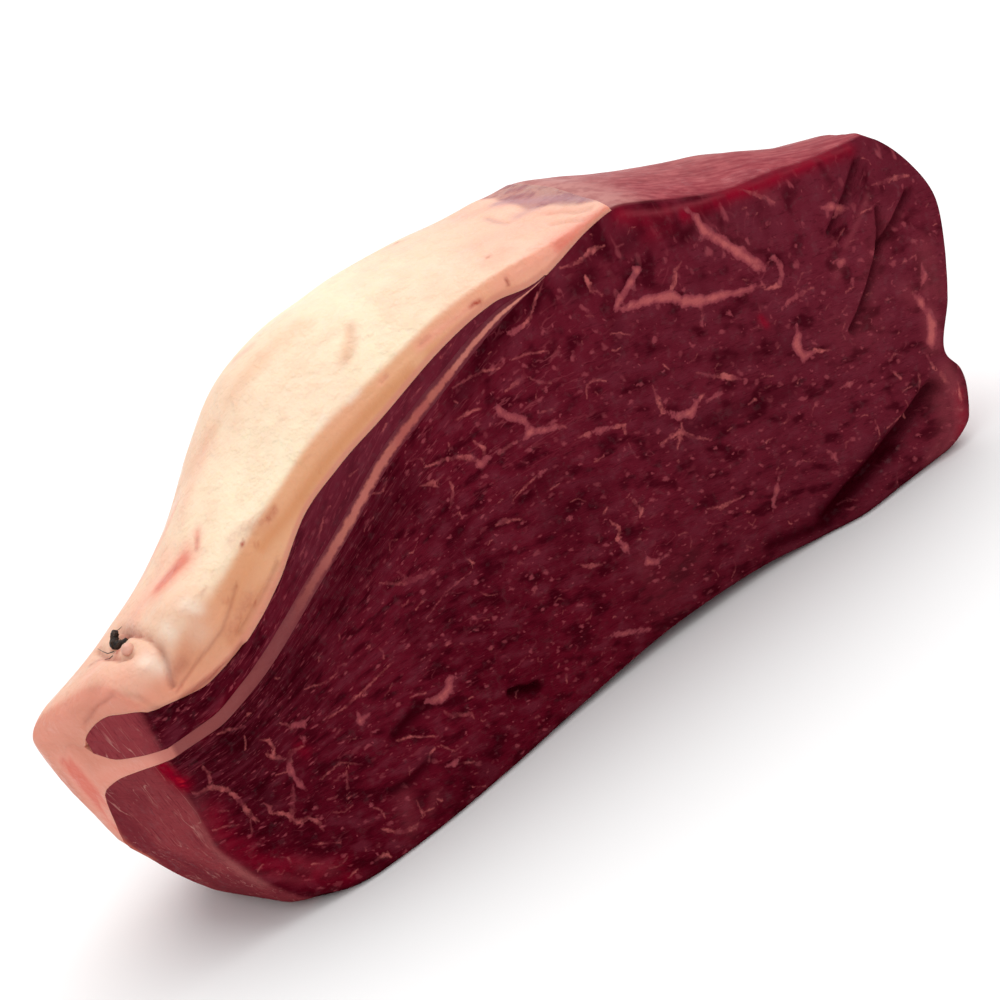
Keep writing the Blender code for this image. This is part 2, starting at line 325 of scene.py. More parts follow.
def base(x, y):
    """The flat base, which arches a little off the floor along the middle of its front edge."""
    return smooth(ARCH, x) * np.maximum(1 - y / ARCH_DEPTH, 0) ** 2


print("fat on the front cut at 90 mm:", round(float(fat_top(90, 0) - under_fat(90, 0)), 1), "mm")

# %% Walls
def left_wall(y, z):
    """Sideways place of the fat end wall."""
    behind = np.maximum(y - TIP_DEPTH, 0) / (smooth(DEPTH, 0) - TIP_DEPTH)
    front = np.maximum(1 - y / CORNER_FRONT, 0)
    lean_out = smooth(WALL_SLANT, z) * np.minimum(y, TIP_DEPTH)
    corner = (CORNER_EASE + CORNER_FOOT * np.maximum(1 - z / FOOT_HEIGHT, 0)) * front ** 2
    return WALL_X - lean_out + CORNER_BACK * behind ** 2 + corner + smooth(FOOT_LEFT, z)


def right_wall(y, z):
    """Sideways place of the bare end wall, from the joint's full length."""
    behind = np.clip(y / smooth(DEPTH, LENGTH), 0, 1)
    front = np.maximum(1 - y / END_CORNER_WIDE, 0)
    return -smooth(END_RIGHT, z) - CORNER_BACK * behind ** END_BACK_POWER - END_CORNER * front ** 2


def place(x, v, z):
    """Put a point of the tissue block where the walls carry it: x along, v across, z up."""
    depth = smooth(DEPTH, x)
    front = smooth(FOOT_FRONT, z) - smooth(BELLY, x) * np.maximum(1 - z / BELLY_HEIGHT, 0) ** 2
    back = depth - smooth(FOOT_BACK, z)
    y = front + v * (back - front)
    left = np.clip(1 - x / FOOT_FADE_LEFT, 0, 1) ** 3
    right_share = np.clip(1 - (LENGTH - x) / FOOT_FADE_RIGHT, 0, 1) ** 2
    along = x + left * left_wall(v * depth, z) + right_share * right_wall(v * depth, z)
    return np.stack(np.broadcast_arrays(along, y, z), axis=-1)


print("tip of the fat end:", np.round(place(0.0, 0.5, 60.0), 1), "mm")

# %% [markdown]
# ## From the picture to the meat
#
# Veins, creases and stains sit at places that are easiest to name as points of the picture. A ray
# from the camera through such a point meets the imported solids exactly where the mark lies. The
# alternative, guessing lengths by eye, would drift. Once found, a mark is a line on the meat and no
# longer depends on the camera.

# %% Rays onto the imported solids
corners = []
triangles = []
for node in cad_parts.values():
    start = len(corners)
    corners.extend(v.co.copy() for v in node.data.vertices)
    triangles.extend([start + i for i in face.vertices] for face in node.data.polygons)
solids = BVHTree.FromPolygons(corners, triangles)


def trace(pixels):
    """Millimetre points where rays through the picture's pixels meet the solids."""
    found = []
    for pixel_x, pixel_y in pixels:
        across = right * (pixel_x - PICTURE / 2) / FOCAL
        down = up * (pixel_y - PICTURE / 2) / FOCAL
        ray = Vector(forward + across - down).normalized()
        hit = solids.ray_cast(Vector(to_world(eye)), ray)[0]
        if hit is not None:
            found.append(np.array(hit) / MM - CORNER)
    return np.array(found).reshape(-1, 3)


print("centre of the picture meets the meat at", np.round(trace([(500, 500)])[0], 1), "mm")


def line_distance(points, path):
    """Shortest distance from each point to a path in space, in millimetres."""
    best = np.full(len(points), 1e3)
    if len(path) == 1:
        return np.linalg.norm(points - path[0], axis=1)
    for start, stop in zip(path[:-1], path[1:]):
        span = stop - start
        share = np.clip((points - start) @ span / max(span @ span, 1e-9), 0, 1)
        best = np.minimum(best, np.linalg.norm(points - start - share[:, None] * span, axis=1))
    return best


# %% [markdown]
# ## Relief
#
# Meat is never flat. The cut face swells and sinks by half a millimetre, the fat is lumpy, and a few
# creases run deep. Large soft waves come from seeded random lattices, and named creases are traced.
# All tissues read the same relief, so their shared edges move together and no crack opens.

# %% Seeded waves
WAVE_CELLS = 32
WAVE_SHIFT = 50.5               # keeps the joint away from the lattice's own corner


def waves(points, size, seed):
    """Smooth random values from -1 to 1; size is the length of a wave along each axis."""
    cells = np.random.default_rng(seed).uniform(-1, 1, (WAVE_CELLS,) * 3)
    at = points / np.array(size, float) + WAVE_SHIFT
    low = np.floor(at).astype(int)
    t = at - low
    t = t * t * (3 - 2 * t)
    total = np.zeros(len(points))
    for corner in np.ndindex(2, 2, 2):
        i, j, k = ((low + corner) % WAVE_CELLS).T
        weight = np.prod(np.where(np.array(corner) == 1, t, 1 - t), axis=1)
        total += cells[i, j, k] * weight
    return total


print("waves at the origin:", waves(np.zeros((1, 3)), (10, 10, 10), 1))

# %% Creases, traced on the picture: pixels, half width and depth in mm
CREASES = {
    "crevice at the lower right": ([(934, 388), (914, 418), (886, 456), (854, 492), (826, 526)],
        2.4, 4.6),
    "upper right fold": ([(856, 160), (852, 176), (848, 192), (840, 210), (830, 232)], 1.2, 1.6),
    "right fold": ([(909, 192), (896, 221), (882, 243), (878, 262), (871, 286), (862, 310),
        (853, 330)], 1.2, 1.8),
    "right fold's branch": ([(878, 208), (880, 228), (881, 246)], 1.0, 1.2),
    "slit near the base": ([(512, 693), (520, 690), (529, 690), (538, 685)], 1.1, 2.2),
    "furrow under the rump": ([(392, 792), (412, 782), (432, 760)], 1.8, 1.2),
    "dark furrow": ([(395, 735), (420, 705), (436, 700)], 1.5, 0.9),
    "hollow in the middle": ([(690, 430), (735, 412), (790, 392)], 4.0, 0.6),
    "crease in the fat by the strip": ([(146, 714), (163, 712), (180, 700), (199, 686), (216, 673),
        (232, 659), (243, 645)], 0.9, 1.2),
    "second crease by the strip": ([(240, 632), (256, 606), (268, 584), (278, 562)], 0.8, 0.7),
    "crease right of the vessel": ([(118, 628), (134, 631), (150, 637), (161, 648), (168, 662),
        (172, 680)], 1.3, 1.7),
    "crease under the vessel": ([(98, 650), (108, 657), (120, 659), (131, 656)], 1.2, 1.2),
    "fold of the tip": ([(84, 722), (96, 704), (110, 695), (138, 696), (158, 708)], 1.0, 0.6),
    "dimple between lumps": ([(176, 668), (184, 660)], 2.0, 0.8),
    "outline of the lump": ([(236, 582), (229, 608), (222, 630), (208, 648), (193, 664),
        (180, 682)], 0.9, 0.7),
    "edge of the dent": ([(350, 326), (355, 340), (352, 352), (342, 364)], 2.2, 0.3),
    "wrinkles at the top": ([(484, 217), (496, 222), (509, 222)], 1.2, 0.35),
    "second wrinkle": ([(548, 213), (560, 210), (576, 212), (590, 209)], 1.1, 0.5),
    "third wrinkle": ([(552, 224), (568, 221), (584, 220)], 1.1, 0.5),
    "nick in the crest": ([(506, 277), (508, 285)], 0.6, 0.7),
}
SWELLINGS = {
    "lobe": ([(948, 385), (952, 420), (932, 462), (890, 500)], 5.0, 1.8),
    "ridge beside the fold": ([(865, 166), (858, 192), (848, 216), (830, 246)], 1.4, 1.1),
    "rib between the folds": ([(893, 190), (888, 215)], 1.5, 0.6),
    "fat lump": ([(196, 622)], 8.0, 2.0),
    "small lump": ([(151, 672)], 4.6, 1.5),
    "lump over the strip": ([(214, 648)], 6.0, 0.6),
    "crest": ([(250, 523), (282, 494), (317, 447), (364, 403), (405, 365)], 2.6, 0.35),
}
creases = [(trace(pixels), width, depth) for pixels, width, depth in CREASES.values()]
swellings = [(trace(pixels), width, height) for pixels, width, height in SWELLINGS.values()]
print(len(creases), "creases and", len(swellings), "swellings traced")

# %% How the relief bends the block
WALL_FADE = 6.0                 # how far below a wall its relief reaches
FOOT_CALM = 9.0                 # height over which the relief grows from nothing at the base
MEMBRANE_GRAIN = (160, 185)     # where along the joint the grain of the membrane sets in
CRISP_FRONT = (3, 12)           # the end walls are rounded only behind the front cut
# Each wave has a height in mm, its lengths along the three axes and a seed.
CUT_WAVES = [(0.55, (46, 60, 30), 1), (0.22, (15, 40, 9), 2), (0.10, (6, 20, 3.2), 3)]
TOP_WAVES = [(0.5, (34, 26, 40), 4), (0.16, (11, 9, 30), 5)]
MEMBRANE_WAVES = [(0.3, (26, 4.5, 40), 6)]
END_WAVES = [(0.35, (40, 16, 26), 7), (0.14, (40, 2.6, 18), 8), (0.08, (40, 1.6, 8), 9)]
EDGE_ROUND = [(0, 4.5), (60, 4), (120, 3), (172, 1.6), (268, 2.6)]
POCKET_DEPTH = 2.9
POCKET_RADIUS = 3.1
pocket = place(VESSEL_PLACE[0], VESSEL_PLACE[1] / smooth(DEPTH, VESSEL_PLACE[0]),
               fat_top(*VESSEL_PLACE))


def fade(distance):
    """Full at a wall, and gone a few millimetres below it."""
    return np.exp(-(np.maximum(distance, 0) / WALL_FADE) ** 2)


def swell(points, layers):
    """Several waves on top of each other."""
    return sum(height * waves(points, size, seed) for height, size, seed in layers)


def wall_distances(x, v, z):
    """Distances below the front, back, outer, fat end and bare end walls."""
    depth = smooth(DEPTH, x)
    outer = np.where(x <= FAT_END, fat_top(x, v * depth), lean_top(x, v * depth))
    return v * depth, (1 - v) * depth, outer - z, x, LENGTH - x


def relief(points, away):
    """Millimetres that the surface swells out (or sinks in, below 0), and which way is out."""
    front, back, outer, left_end, right_end = [fade(distance) for distance in away]
    foot = ramp(0, FOOT_CALM, points[:, 2])
    front, back, left_end, right_end = [share * foot
                                        for share in (front, back, left_end, right_end)]
    skin = ramp(*MEMBRANE_GRAIN, points[:, 0]) * swell(points, MEMBRANE_WAVES)
    shares = front + back + outer + left_end + right_end + 1e-6
    height = ((front + back) * swell(points, CUT_WAVES) + outer * (swell(points, TOP_WAVES) + skin)
              + (left_end + right_end) * swell(points, END_WAVES)) / shares
    for path, width, depth in creases:
        height -= depth * np.exp(-(line_distance(points, path) / width) ** 2)
    for path, width, rise_by in swellings:
        height += rise_by * np.exp(-(line_distance(points, path) / width) ** 2)
    out = np.stack([right_end - left_end, back - front, outer], axis=-1)
    size = np.linalg.norm(out, axis=1, keepdims=True)
    return height[:, None] * out / np.maximum(size, 1)


def rounded(points, away, x):
    """Round the edges between the outer surface and the cuts and end walls."""
    radius = smooth(EDGE_ROUND, x)
    w = np.clip(1 - away[2] / radius, 0, 1)
    off_front = ramp(*CRISP_FRONT, away[0])
    for wall, axis, side in ((away[0], 1, 1), (away[1], 1, -1), (away[3], 0, 1), (away[4], 0, -1)):
        u = np.clip(1 - wall / radius, 0, 1) * (off_front if axis == 0 else 1)
        points[:, axis] += side * radius * (u - u * np.sqrt(1 - w * w / 2))
        points[:, 2] -= radius * (w - w * np.sqrt(1 - u * u / 2))
    return points


def sculpt(x, v, z):
    """Final points of the block, with relief, rounded edges and the vessel's pocket."""
    points = place(x, v, z)
    away = wall_distances(x, v, z)
    moved = rounded(points + relief(points, away), away, x)
    from_pocket = np.linalg.norm(points - pocket, axis=1)
    moved[:, 2] -= POCKET_DEPTH * np.exp(-(from_pocket / POCKET_RADIUS) ** 4)
    return points, moved, away


print("pocket of the vessel at", np.round(pocket, 1), "mm")

# %% [markdown]
# ## Fine closed blocks
#
# Each tissue is a closed block of small cells. A plain grid on all six sides would waste most of
# its cells on hidden sides, so only the front cut is fine, and the other sides use cells twice as
# wide. Where a wide cell meets the front, the fine edge's middle point goes into its ring, which
# keeps the skin closed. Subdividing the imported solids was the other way, but it would round off
# the cut edges.

# %% Cells of a block
CORNERS = ((0, 0), (1, 0), (1, 1), (0, 1))


def ring_with_middles(ring):
    """Add the points that lie between two corners along the fine front cut."""
    full = []
    for here, after in zip(ring, ring[1:] + ring[:1]):
        full.append(here)
        middle = tuple((a + b) // 2 for a, b in zip(here, after))
        if here[1] == 0 and after[1] == 0 and middle not in (here, after):
            full.append(middle)
    return full


def side_cells(counts, axis, side, steps):
    """Rings of lattice keys for one side of a block, facing outward."""
    first, second = [other for other in range(3) if other != axis]
    outward = (side == 1) == (axis != 1)
    rings = []
    for a in range(0, counts[first], steps[first]):
        for b in range(0, counts[second], steps[second]):
            ring = []
            for da, db in CORNERS:
                key = [0, 0, 0]
                key[axis] = side * counts[axis]
                key[first] = a + da * steps[first]
                key[second] = b + db * steps[second]
                ring.append(tuple(key))
            ring = ring_with_middles(ring)
            rings.append(ring if outward else ring[::-1])
    return rings


def block_cells(counts, coarse):
    """All six sides; only the front cut is fine where coarse is 2."""
    wide = (coarse, 1, coarse)
    cells = side_cells(counts, 1, 0, (1, 1, 1)) + side_cells(counts, 1, 1, wide)
    for axis in (0, 2):
        for side in (0, 1):
            cells += side_cells(counts, axis, side, wide)
    return cells


print("a 4 x 2 x 4 block has", len(block_cells((4, 2, 4), 2)), "cells")

# %% Mesh of one tissue
ROW_EASE = 0.45                 # closer rows near the two cuts
SHARP_OVER = 50.0               # degrees: a steeper edge is shaded as a cut edge


def tissue(name, end, lower, upper, counts, coarse=1, along=None):
    """A fine closed mesh between two height surfaces, with what its points know about the meat."""
    cells = block_cells(counts, coarse)
    keys = sorted({key for ring in cells for key in ring})
    index = {key: number for number, key in enumerate(keys)}
    i, j, k = np.array(keys, float).T
    x = end * i / counts[0]
    row = j / counts[1]
    v = row - ROW_EASE * np.sin(2 * np.pi * row) / (2 * np.pi)
    y = v * smooth(DEPTH, x)
    low = lower(x, y)
    z = low + (k / counts[2]) * (upper(x, y) - low)
    if along:
        x = along(x, y)
    still, moved, away = sculpt(x, v, z)
    mesh = bpy.data.meshes.new(name)
    mesh.from_pydata(to_world(moved).tolist(), [], [[index[key] for key in ring] for ring in cells])
    mesh.shade_smooth()
    mesh.set_sharp_from_angle(angle=np.radians(SHARP_OVER))
    piece = put(name, mesh)
    print(name, len(keys), "points,", sum(len(ring) - 2 for ring in cells), "triangles")
    return piece, still, away


def write_values(piece, name, values):
    """Keep one number or one vector for each point of a piece, for its material to read."""
    kind = "FLOAT_VECTOR" if values.ndim == 2 else "FLOAT"
    layer = piece.data.attributes.new(name, kind, "POINT")
    layer.data.foreach_set("vector" if values.ndim == 2 else "value",
                           np.ascontiguousarray(values, np.float32).ravel())


def compare_box(piece, node):
    """Print how far a piece's box stands from its node's box, in mm."""
    bpy.context.view_layer.update()
    low, high = [np.array(corner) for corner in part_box(node)]
    co = np.array([v.co for v in piece.data.vertices])
    below, above = (co.min(0) - low) / MM, (co.max(0) - high) / MM
    print(node, "box differs by", np.round(below, 2), np.round(above, 2))


# %% [markdown]
# ## The five tissues
#
# The big muscle takes most of the cells, because its cut face fills the picture. The seam, the
# strip and the fat cap meet it at the middle of the gap that the solids keep between them, so the
# cut looks joined, as it is in meat.

# %% Build the tissues
MEETING = GAP / 2
SLIT = 0.02                     # mm that two tissues keep between them
OVERLAP = 0.45                  # mm that fat sinks into fat, so that no line shows between them
DRAW_IN = 1.6                   # mm that the strip draws back where it has run out
DRAW_FADE = 20.0                # mm from the fat end over which it does
RUN_OUT = (0.8, 2.4)            # thickness at which the strip counts as gone, and as there
RUN_OUT_ENDS = (50, 80)         # where along the joint it can't have run out any more
END_THINNING = 12.0             # mm over which the cap thins out at its far end
THINNING_STARTS = (3, 14)       # mm behind the front cut from where it does


def cap_upper(x, y):
    """Outer surface of the cap, thinning to almost nothing where the membrane takes over."""
    thinning = ramp(FAT_END - END_THINNING, FAT_END, x) * ramp(*THINNING_STARTS, y)
    least = under_fat(x, y) + MEETING + THIN / 2
    return fat_top(x, y) - thinning * np.maximum(fat_top(x, y) - least, 0)


def closing(x, y):
    """1 on the fat end where the strip has run out and fat lies on fat."""
    share = 1 + end_share(x) * (smooth(END_STRIP_SHARE, y) - 1)
    return (1 - ramp(*RUN_OUT, smooth(STRIP, x) * share)) * (1 - ramp(*RUN_OUT_ENDS, x))


def closed_seam_top(x, y):
    """Top of the seam, raised to the cap of fat where no strip lies between them."""
    return under(seam_top)(x, y) + closing(x, y) * (strip_top(x, y) - seam_top(x, y) + OVERLAP)


def drawn_in(x, y):
    """Stations along the strip, drawn back from the end wall where it has run out."""
    return x + DRAW_IN * ramp(0.85, 1.0, closing(x, y)) * (1 - ramp(0, DRAW_FADE, x))


def under(surface):
    """Just below a shared surface, for the tissue that ends there."""
    return lambda x, y: surface(x, y) + MEETING - SLIT


def over(surface):
    """Just above a shared surface, for the tissue that starts there."""
    return lambda x, y: surface(x, y) + MEETING + SLIT


lean, lean_points, lean_away = tissue(
    "lean_muscle", LENGTH, base, under(lean_top), (352, 56, 136), coarse=2)
seam, seam_points, seam_away = tissue(
    "seam_of_fat", STRIP_END, over(lean_top), closed_seam_top, (192, 44, 6))
strip, strip_points, strip_away = tissue(
    "strip_of_cap_muscle", STRIP_END, over(seam_top), under(strip_top), (192, 44, 8),
    along=drawn_in)
cap, cap_points, cap_away = tissue("cap_of_fat", FAT_END, over(under_fat), cap_upper, (226, 80, 14))
for piece, node in ((lean, "lean"), (seam, "fat_seam"), (strip, "cap_muscle"), (cap, "fat_cap")):
    compare_box(piece, node)

# %% [markdown]
# ## Marbling
#
# Thin branches of fat run between the bundles of the big muscle, and the cut shows them as pale
# strokes. They could be painted into an image, but an image would have to be stored, or drawn by
# noise alone, which never gives their real branches. Here the main strokes are given as
# points of the picture with a width in pixels, and laid on the front cut. Each point of the mesh
# then keeps the way to its nearest stroke, and the material turns that into a crisp line.

# %% Main strokes of the upper half: pixel x, pixel y and width in pixels
UPPER_STROKES = [
    [(679, 205, 5), (695, 217, 8), (704, 231, 11), (724, 243, 11), (739, 252, 12), (751, 261, 12),
     (762, 263, 6)],
    [(628, 261, 7), (637, 271, 8), (631, 282, 8), (621, 298, 8), (616, 309, 9)],
    [(616, 311, 7), (631, 306, 9), (649, 300, 11), (668, 296, 12), (685, 301, 12), (700, 301, 12),
     (719, 296, 10), (739, 292, 6), (752, 287, 6), (763, 284, 5)],
    [(669, 294, 6), (674, 283, 5), (675, 272, 4), (681, 262, 2)],
    [(700, 304, 7), (703, 312, 5), (703, 318, 4)],
    [(693, 249, 4), (700, 240, 6), (705, 236, 8)],
    [(748, 260, 11), (756, 266, 9), (764, 268, 6), (774, 256, 6)],
    [(774, 256, 7), (781, 266, 6), (782, 275, 6), (779, 284, 5), (764, 290, 4)],
    [(740, 189, 4), (757, 195, 5), (774, 202, 4)],
    [(813, 208, 5), (828, 206, 8), (842, 209, 8), (835, 218, 4)],
    [(872, 185, 4), (890, 179, 5), (908, 176, 6)],
    [(842, 229, 4), (834, 242, 4), (822, 252, 3)],
    [(740, 296, 4), (752, 289, 4), (763, 284, 5)],
    [(781, 311, 7), (788, 302, 6), (796, 296, 5), (813, 287, 4)],
    [(796, 322, 5), (797, 335, 9), (796, 346, 12), (803, 357, 9), (814, 351, 4), (830, 350, 4)],
    [(831, 261, 7), (842, 263, 8), (838, 270, 6)],
    [(913, 293, 8), (920, 303, 8)],
    [(929, 308, 9), (932, 322, 13), (932, 340, 13), (934, 350, 8)],
    [(560, 268, 4), (579, 262, 5), (592, 250, 5), (604, 246, 4)],
    [(585, 276, 4), (591, 288, 5), (602, 295, 4)],
    [(530, 319, 4), (536, 299, 3), (543, 282, 3)],
    [(499, 331, 3), (511, 333, 6), (521, 327, 4), (530, 318, 4)],
    [(698, 373, 5), (714, 376, 5), (728, 377, 5), (741, 379, 4)],
    [(707, 401, 5), (718, 395, 6), (730, 390, 3)],
    [(653, 386, 3), (658, 399, 5), (664, 412, 5), (680, 417, 8), (692, 413, 11), (698, 401, 5),
     (707, 392, 3)],
    [(683, 424, 4), (682, 436, 4), (678, 450, 3)],
    [(662, 444, 5), (671, 437, 4), (682, 432, 4), (696, 438, 4), (709, 439, 4)],
    [(841, 388, 6), (849, 384, 7), (857, 380, 5)],
    [(750, 404, 5), (756, 400, 7)],
    [(892, 370, 5), (901, 379, 6)],
    [(888, 428, 4), (903, 417, 5)],
    [(919, 375, 6), (921, 397, 6)],
    [(939, 372, 8), (948, 392, 6)],
    [(953, 384, 6), (956, 400, 8)],
    [(944, 408, 5), (957, 410, 6)],
    [(928, 356, 5), (933, 368, 6)],
    [(914, 294, 7), (922, 303, 10), (930, 314, 12)],
    [(921, 262, 5), (926, 276, 8), (922, 290, 6)],
]
print(len(UPPER_STROKES), "upper strokes")

# %% Main strokes of the middle
MIDDLE_STROKES = [
    [(495, 402, 3), (500, 412, 8), (510, 417, 8), (524, 420, 8), (531, 429, 9)],
    [(522, 441, 6), (530, 432, 10), (543, 430, 7), (555, 427, 5), (566, 427, 3)],
    [(517, 441, 4), (499, 452, 5), (486, 459, 6), (480, 464, 9), (474, 468, 4)],
    [(480, 462, 5), (470, 458, 5), (455, 457, 5), (445, 459, 3), (433, 464, 3), (425, 467, 2)],
    [(485, 457, 4), (484, 448, 3), (473, 441, 3)],
    [(505, 391, 3), (514, 385, 5), (524, 376, 5), (523, 369, 2)],
    [(529, 377, 2), (539, 382, 3), (551, 383, 2)],
    [(551, 357, 5), (558, 353, 5), (559, 346, 3)],
    [(548, 351, 3), (525, 354, 2), (511, 360, 2)],
    [(455, 420, 3), (466, 413, 3), (480, 408, 3)],
    [(452, 388, 2), (466, 379, 3), (482, 371, 2), (499, 368, 3)],
    [(578, 438, 2), (590, 433, 4), (601, 430, 8), (613, 428, 3), (625, 425, 4), (626, 434, 3)],
    [(587, 399, 3), (587, 386, 2), (593, 380, 3), (607, 381, 2)],
    [(536, 482, 3), (539, 473, 6), (555, 466, 3)],
    [(536, 476, 3), (524, 488, 2), (513, 500, 2)],
    [(548, 491, 4), (559, 484, 3)],
    [(496, 525, 4), (504, 521, 5), (522, 519, 3)],
    [(449, 482, 3), (452, 487, 3), (452, 496, 3), (450, 507, 4)],
    [(420, 486, 2), (432, 483, 4), (438, 487, 2)],
    [(433, 483, 3), (444, 474, 2)],
    [(595, 462, 4), (604, 456, 3)],
    [(566, 520, 4), (571, 518, 6), (577, 516, 3)],
    [(611, 521, 4), (620, 529, 5), (618, 539, 4), (625, 547, 8), (629, 556, 6)],
    [(539, 413, 3), (552, 409, 3)],
    [(633, 500, 5), (642, 511, 5), (640, 518, 3)],
    [(645, 550, 4), (648, 562, 7), (656, 562, 6), (672, 552, 4)],
    [(707, 509, 3), (720, 507, 4), (743, 496, 4)],
    [(779, 476, 4), (777, 488, 6), (774, 500, 6), (770, 524, 4)],
    [(827, 450, 5), (834, 456, 7), (838, 462, 5)],
    [(729, 466, 5), (730, 467, 5)],
    [(748, 459, 4), (749, 460, 4)],
    [(679, 461, 5), (680, 463, 4)],
    [(581, 565, 3), (590, 566, 4), (602, 565, 4)],
    [(606, 637, 5), (620, 634, 7), (640, 631, 6), (655, 628, 3)],
    [(380, 583, 3), (394, 584, 3), (409, 581, 5), (424, 575, 4), (437, 568, 3)],
    [(398, 572, 2), (407, 578, 4)],
]
print(len(MIDDLE_STROKES), "middle strokes")

# %% Main strokes of the lower left
LOWER_STROKES = [
    [(280, 723, 3), (292, 726, 5), (303, 724, 7), (307, 729, 3)],
    [(296, 734, 3), (304, 738, 6), (304, 746, 4)],
    [(304, 746, 3), (291, 752, 4), (289, 762, 5), (291, 773, 7), (299, 785, 6), (307, 791, 4)],
    [(266, 754, 3), (275, 758, 4), (287, 758, 4)],
    [(260, 740, 2), (268, 740, 3), (274, 748, 3), (273, 757, 3)],
    [(293, 785, 4), (293, 800, 4), (292, 814, 5), (290, 820, 5)],
    [(272, 813, 3), (287, 814, 5), (297, 822, 4), (309, 818, 4), (319, 822, 3), (323, 830, 2)],
    [(264, 803, 2), (270, 807, 3), (269, 813, 2)],
    [(187, 791, 4), (197, 794, 4), (213, 787, 4), (227, 790, 4), (238, 799, 4), (248, 813, 4),
     (258, 821, 3)],
    [(210, 785, 3), (209, 773, 3), (203, 767, 4)],
    [(276, 775, 2), (288, 771, 3)],
    [(354, 697, 4), (366, 695, 4)],
    [(357, 710, 5), (360, 721, 8), (370, 713, 4)],
    [(427, 703, 8), (441, 698, 9), (450, 688, 9), (449, 679, 7), (464, 675, 5)],
    [(411, 697, 4), (425, 693, 4)],
    [(338, 667, 5), (346, 663, 4)],
    [(444, 711, 4), (450, 716, 3), (472, 713, 3), (474, 718, 2)],
    [(431, 762, 4), (431, 754, 3), (435, 748, 4)],
    [(444, 767, 4), (454, 764, 7), (464, 754, 2)],
    [(454, 764, 3), (474, 762, 2)],
    [(346, 771, 4), (347, 788, 4)],
    [(409, 766, 4), (411, 775, 4)],
    [(423, 817, 3), (417, 801, 3)],
    [(424, 812, 3), (434, 808, 2)],
    [(376, 860, 5), (386, 854, 4), (391, 857, 3)],
    [(382, 829, 3), (398, 832, 4), (415, 829, 4), (418, 823, 4)],
    [(313, 844, 2), (326, 843, 2), (340, 842, 2)],
    [(311, 864, 2), (323, 863, 2)],
    [(217, 734, 2), (228, 730, 3), (244, 726, 3)],
    [(397, 741, 2), (409, 737, 2), (434, 736, 2)],
    [(303, 689, 2), (329, 681, 2), (338, 671, 2)],
    [(322, 722, 2), (344, 708, 2), (364, 690, 2), (393, 661, 2)],
    [(218, 811, 2), (228, 810, 3)],
    [(250, 820, 2), (252, 832, 2)],
]
PIXEL = 1 / PIXELS_A_MM
TIP_SHARE = 0.45                # how wide a stroke still is at its two tips


def stroke_segments(strokes):
    """Each piece of a stroke on the cut: start and stop (along, up) and half widths at both, mm."""
    segments = []
    for stroke in strokes:
        path = trace([point[:2] for point in stroke])
        if len(path) < len(stroke):
            continue
        halves = [wide * PIXEL / 2 for _, _, wide in stroke]
        halves[0] *= TIP_SHARE
        halves[-1] *= TIP_SHARE
        for a, b, half_a, half_b in zip(path[:-1], path[1:], halves[:-1], halves[1:]):
            segments.append((a[0], a[2], b[0], b[2], half_a, half_b))
    return segments


main_segments = stroke_segments(UPPER_STROKES + MIDDLE_STROKES + LOWER_STROKES)
print(len(main_segments), "pieces of main strokes")

# %% Strokes of the strip of cap muscle
STRIP_STROKES = [
    [(323, 520, 3), (330, 506, 3)],
    [(380, 435, 3), (386, 424, 3)],
    [(350, 476, 2), (358, 469, 2)],
    [(317, 545, 2), (323, 524, 3)],
    [(270, 602, 2), (277, 593, 2)],
    [(300, 560, 2), (306, 546, 2)],
    [(408, 402, 2), (420, 388, 2)],
    [(440, 358, 2), (452, 344, 2)],
]
strip_segments = stroke_segments(STRIP_STROKES)
print(len(strip_segments), "pieces of strokes on the strip")

# %% [markdown]
# Between the main branches the cut is full of short twigs and flecks. No one would trace hundreds
# of them, and their exact places don't matter, so they are drawn at random with a fixed seed: most
# lie along the grain, some cross it, and each has a kink. A twig that would touch another stroke is
# left out, because two strokes in one cell of the mesh would blur into each other.

# %% Grain direction
GRAIN_TILT = -0.20              # slope of the grain deep in the muscle


def grain_height(x, z):
    """A value that is constant along a fibre: tilted deep down, following the seam near the top."""
    share = z / smooth(LEAN_TOP, x)
    near_top = np.clip(share, 0, 1) ** 3
    deep = z - GRAIN_TILT * (x - LENGTH / 2)
    return near_top * 90 * share + (1 - near_top) * deep


def grain_slope(x, z):
    """Slope of the fibre at a place of the cut."""
    step = 0.5
    along = (grain_height(x + step, z) - grain_height(x - step, z)) / (2 * step)
    upward = (grain_height(x, z + step) - grain_height(x, z - step)) / (2 * step)
    return -along / upward


print("grain slope at mid height", round(float(grain_slope(120.0, 45.0)), 2))

# %% Seeded twigs
TWIGS = 200
TWIG_TRIES = 6000
TWIG_SEED = 11
TWIG_CELL = 1.1                 # mm kept clear around a stroke
TWIG_SPREAD = 0.30              # how far twigs stray from the grain, in radians
TWIG_CROSSING = 0.12            # share of twigs that cross the grain
TWIG_SHORTEST = 0.4
TWIG_MORE = 1.1                 # mean length beyond the shortest, in mm
TWIG_HALF_WIDTH = (0.06, 0.22)
TWIG_KINK = 0.5
TWIG_THINNING = 0.6
TWIG_HIGHEST = 112
TWIG_BELOW_SEAM = 1.5
twig_chance = np.random.default_rng(TWIG_SEED)


def cells_under(segment):
    """Small squares of the cut that a segment passes over."""
    ax, az, bx, bz = segment[:4]
    steps = max(int(np.hypot(bx - ax, bz - az) / (TWIG_CELL / 2)), 1)
    return {(round((ax + (bx - ax) * n / steps) / TWIG_CELL),
             round((az + (bz - az) * n / steps) / TWIG_CELL)) for n in range(steps + 1)}


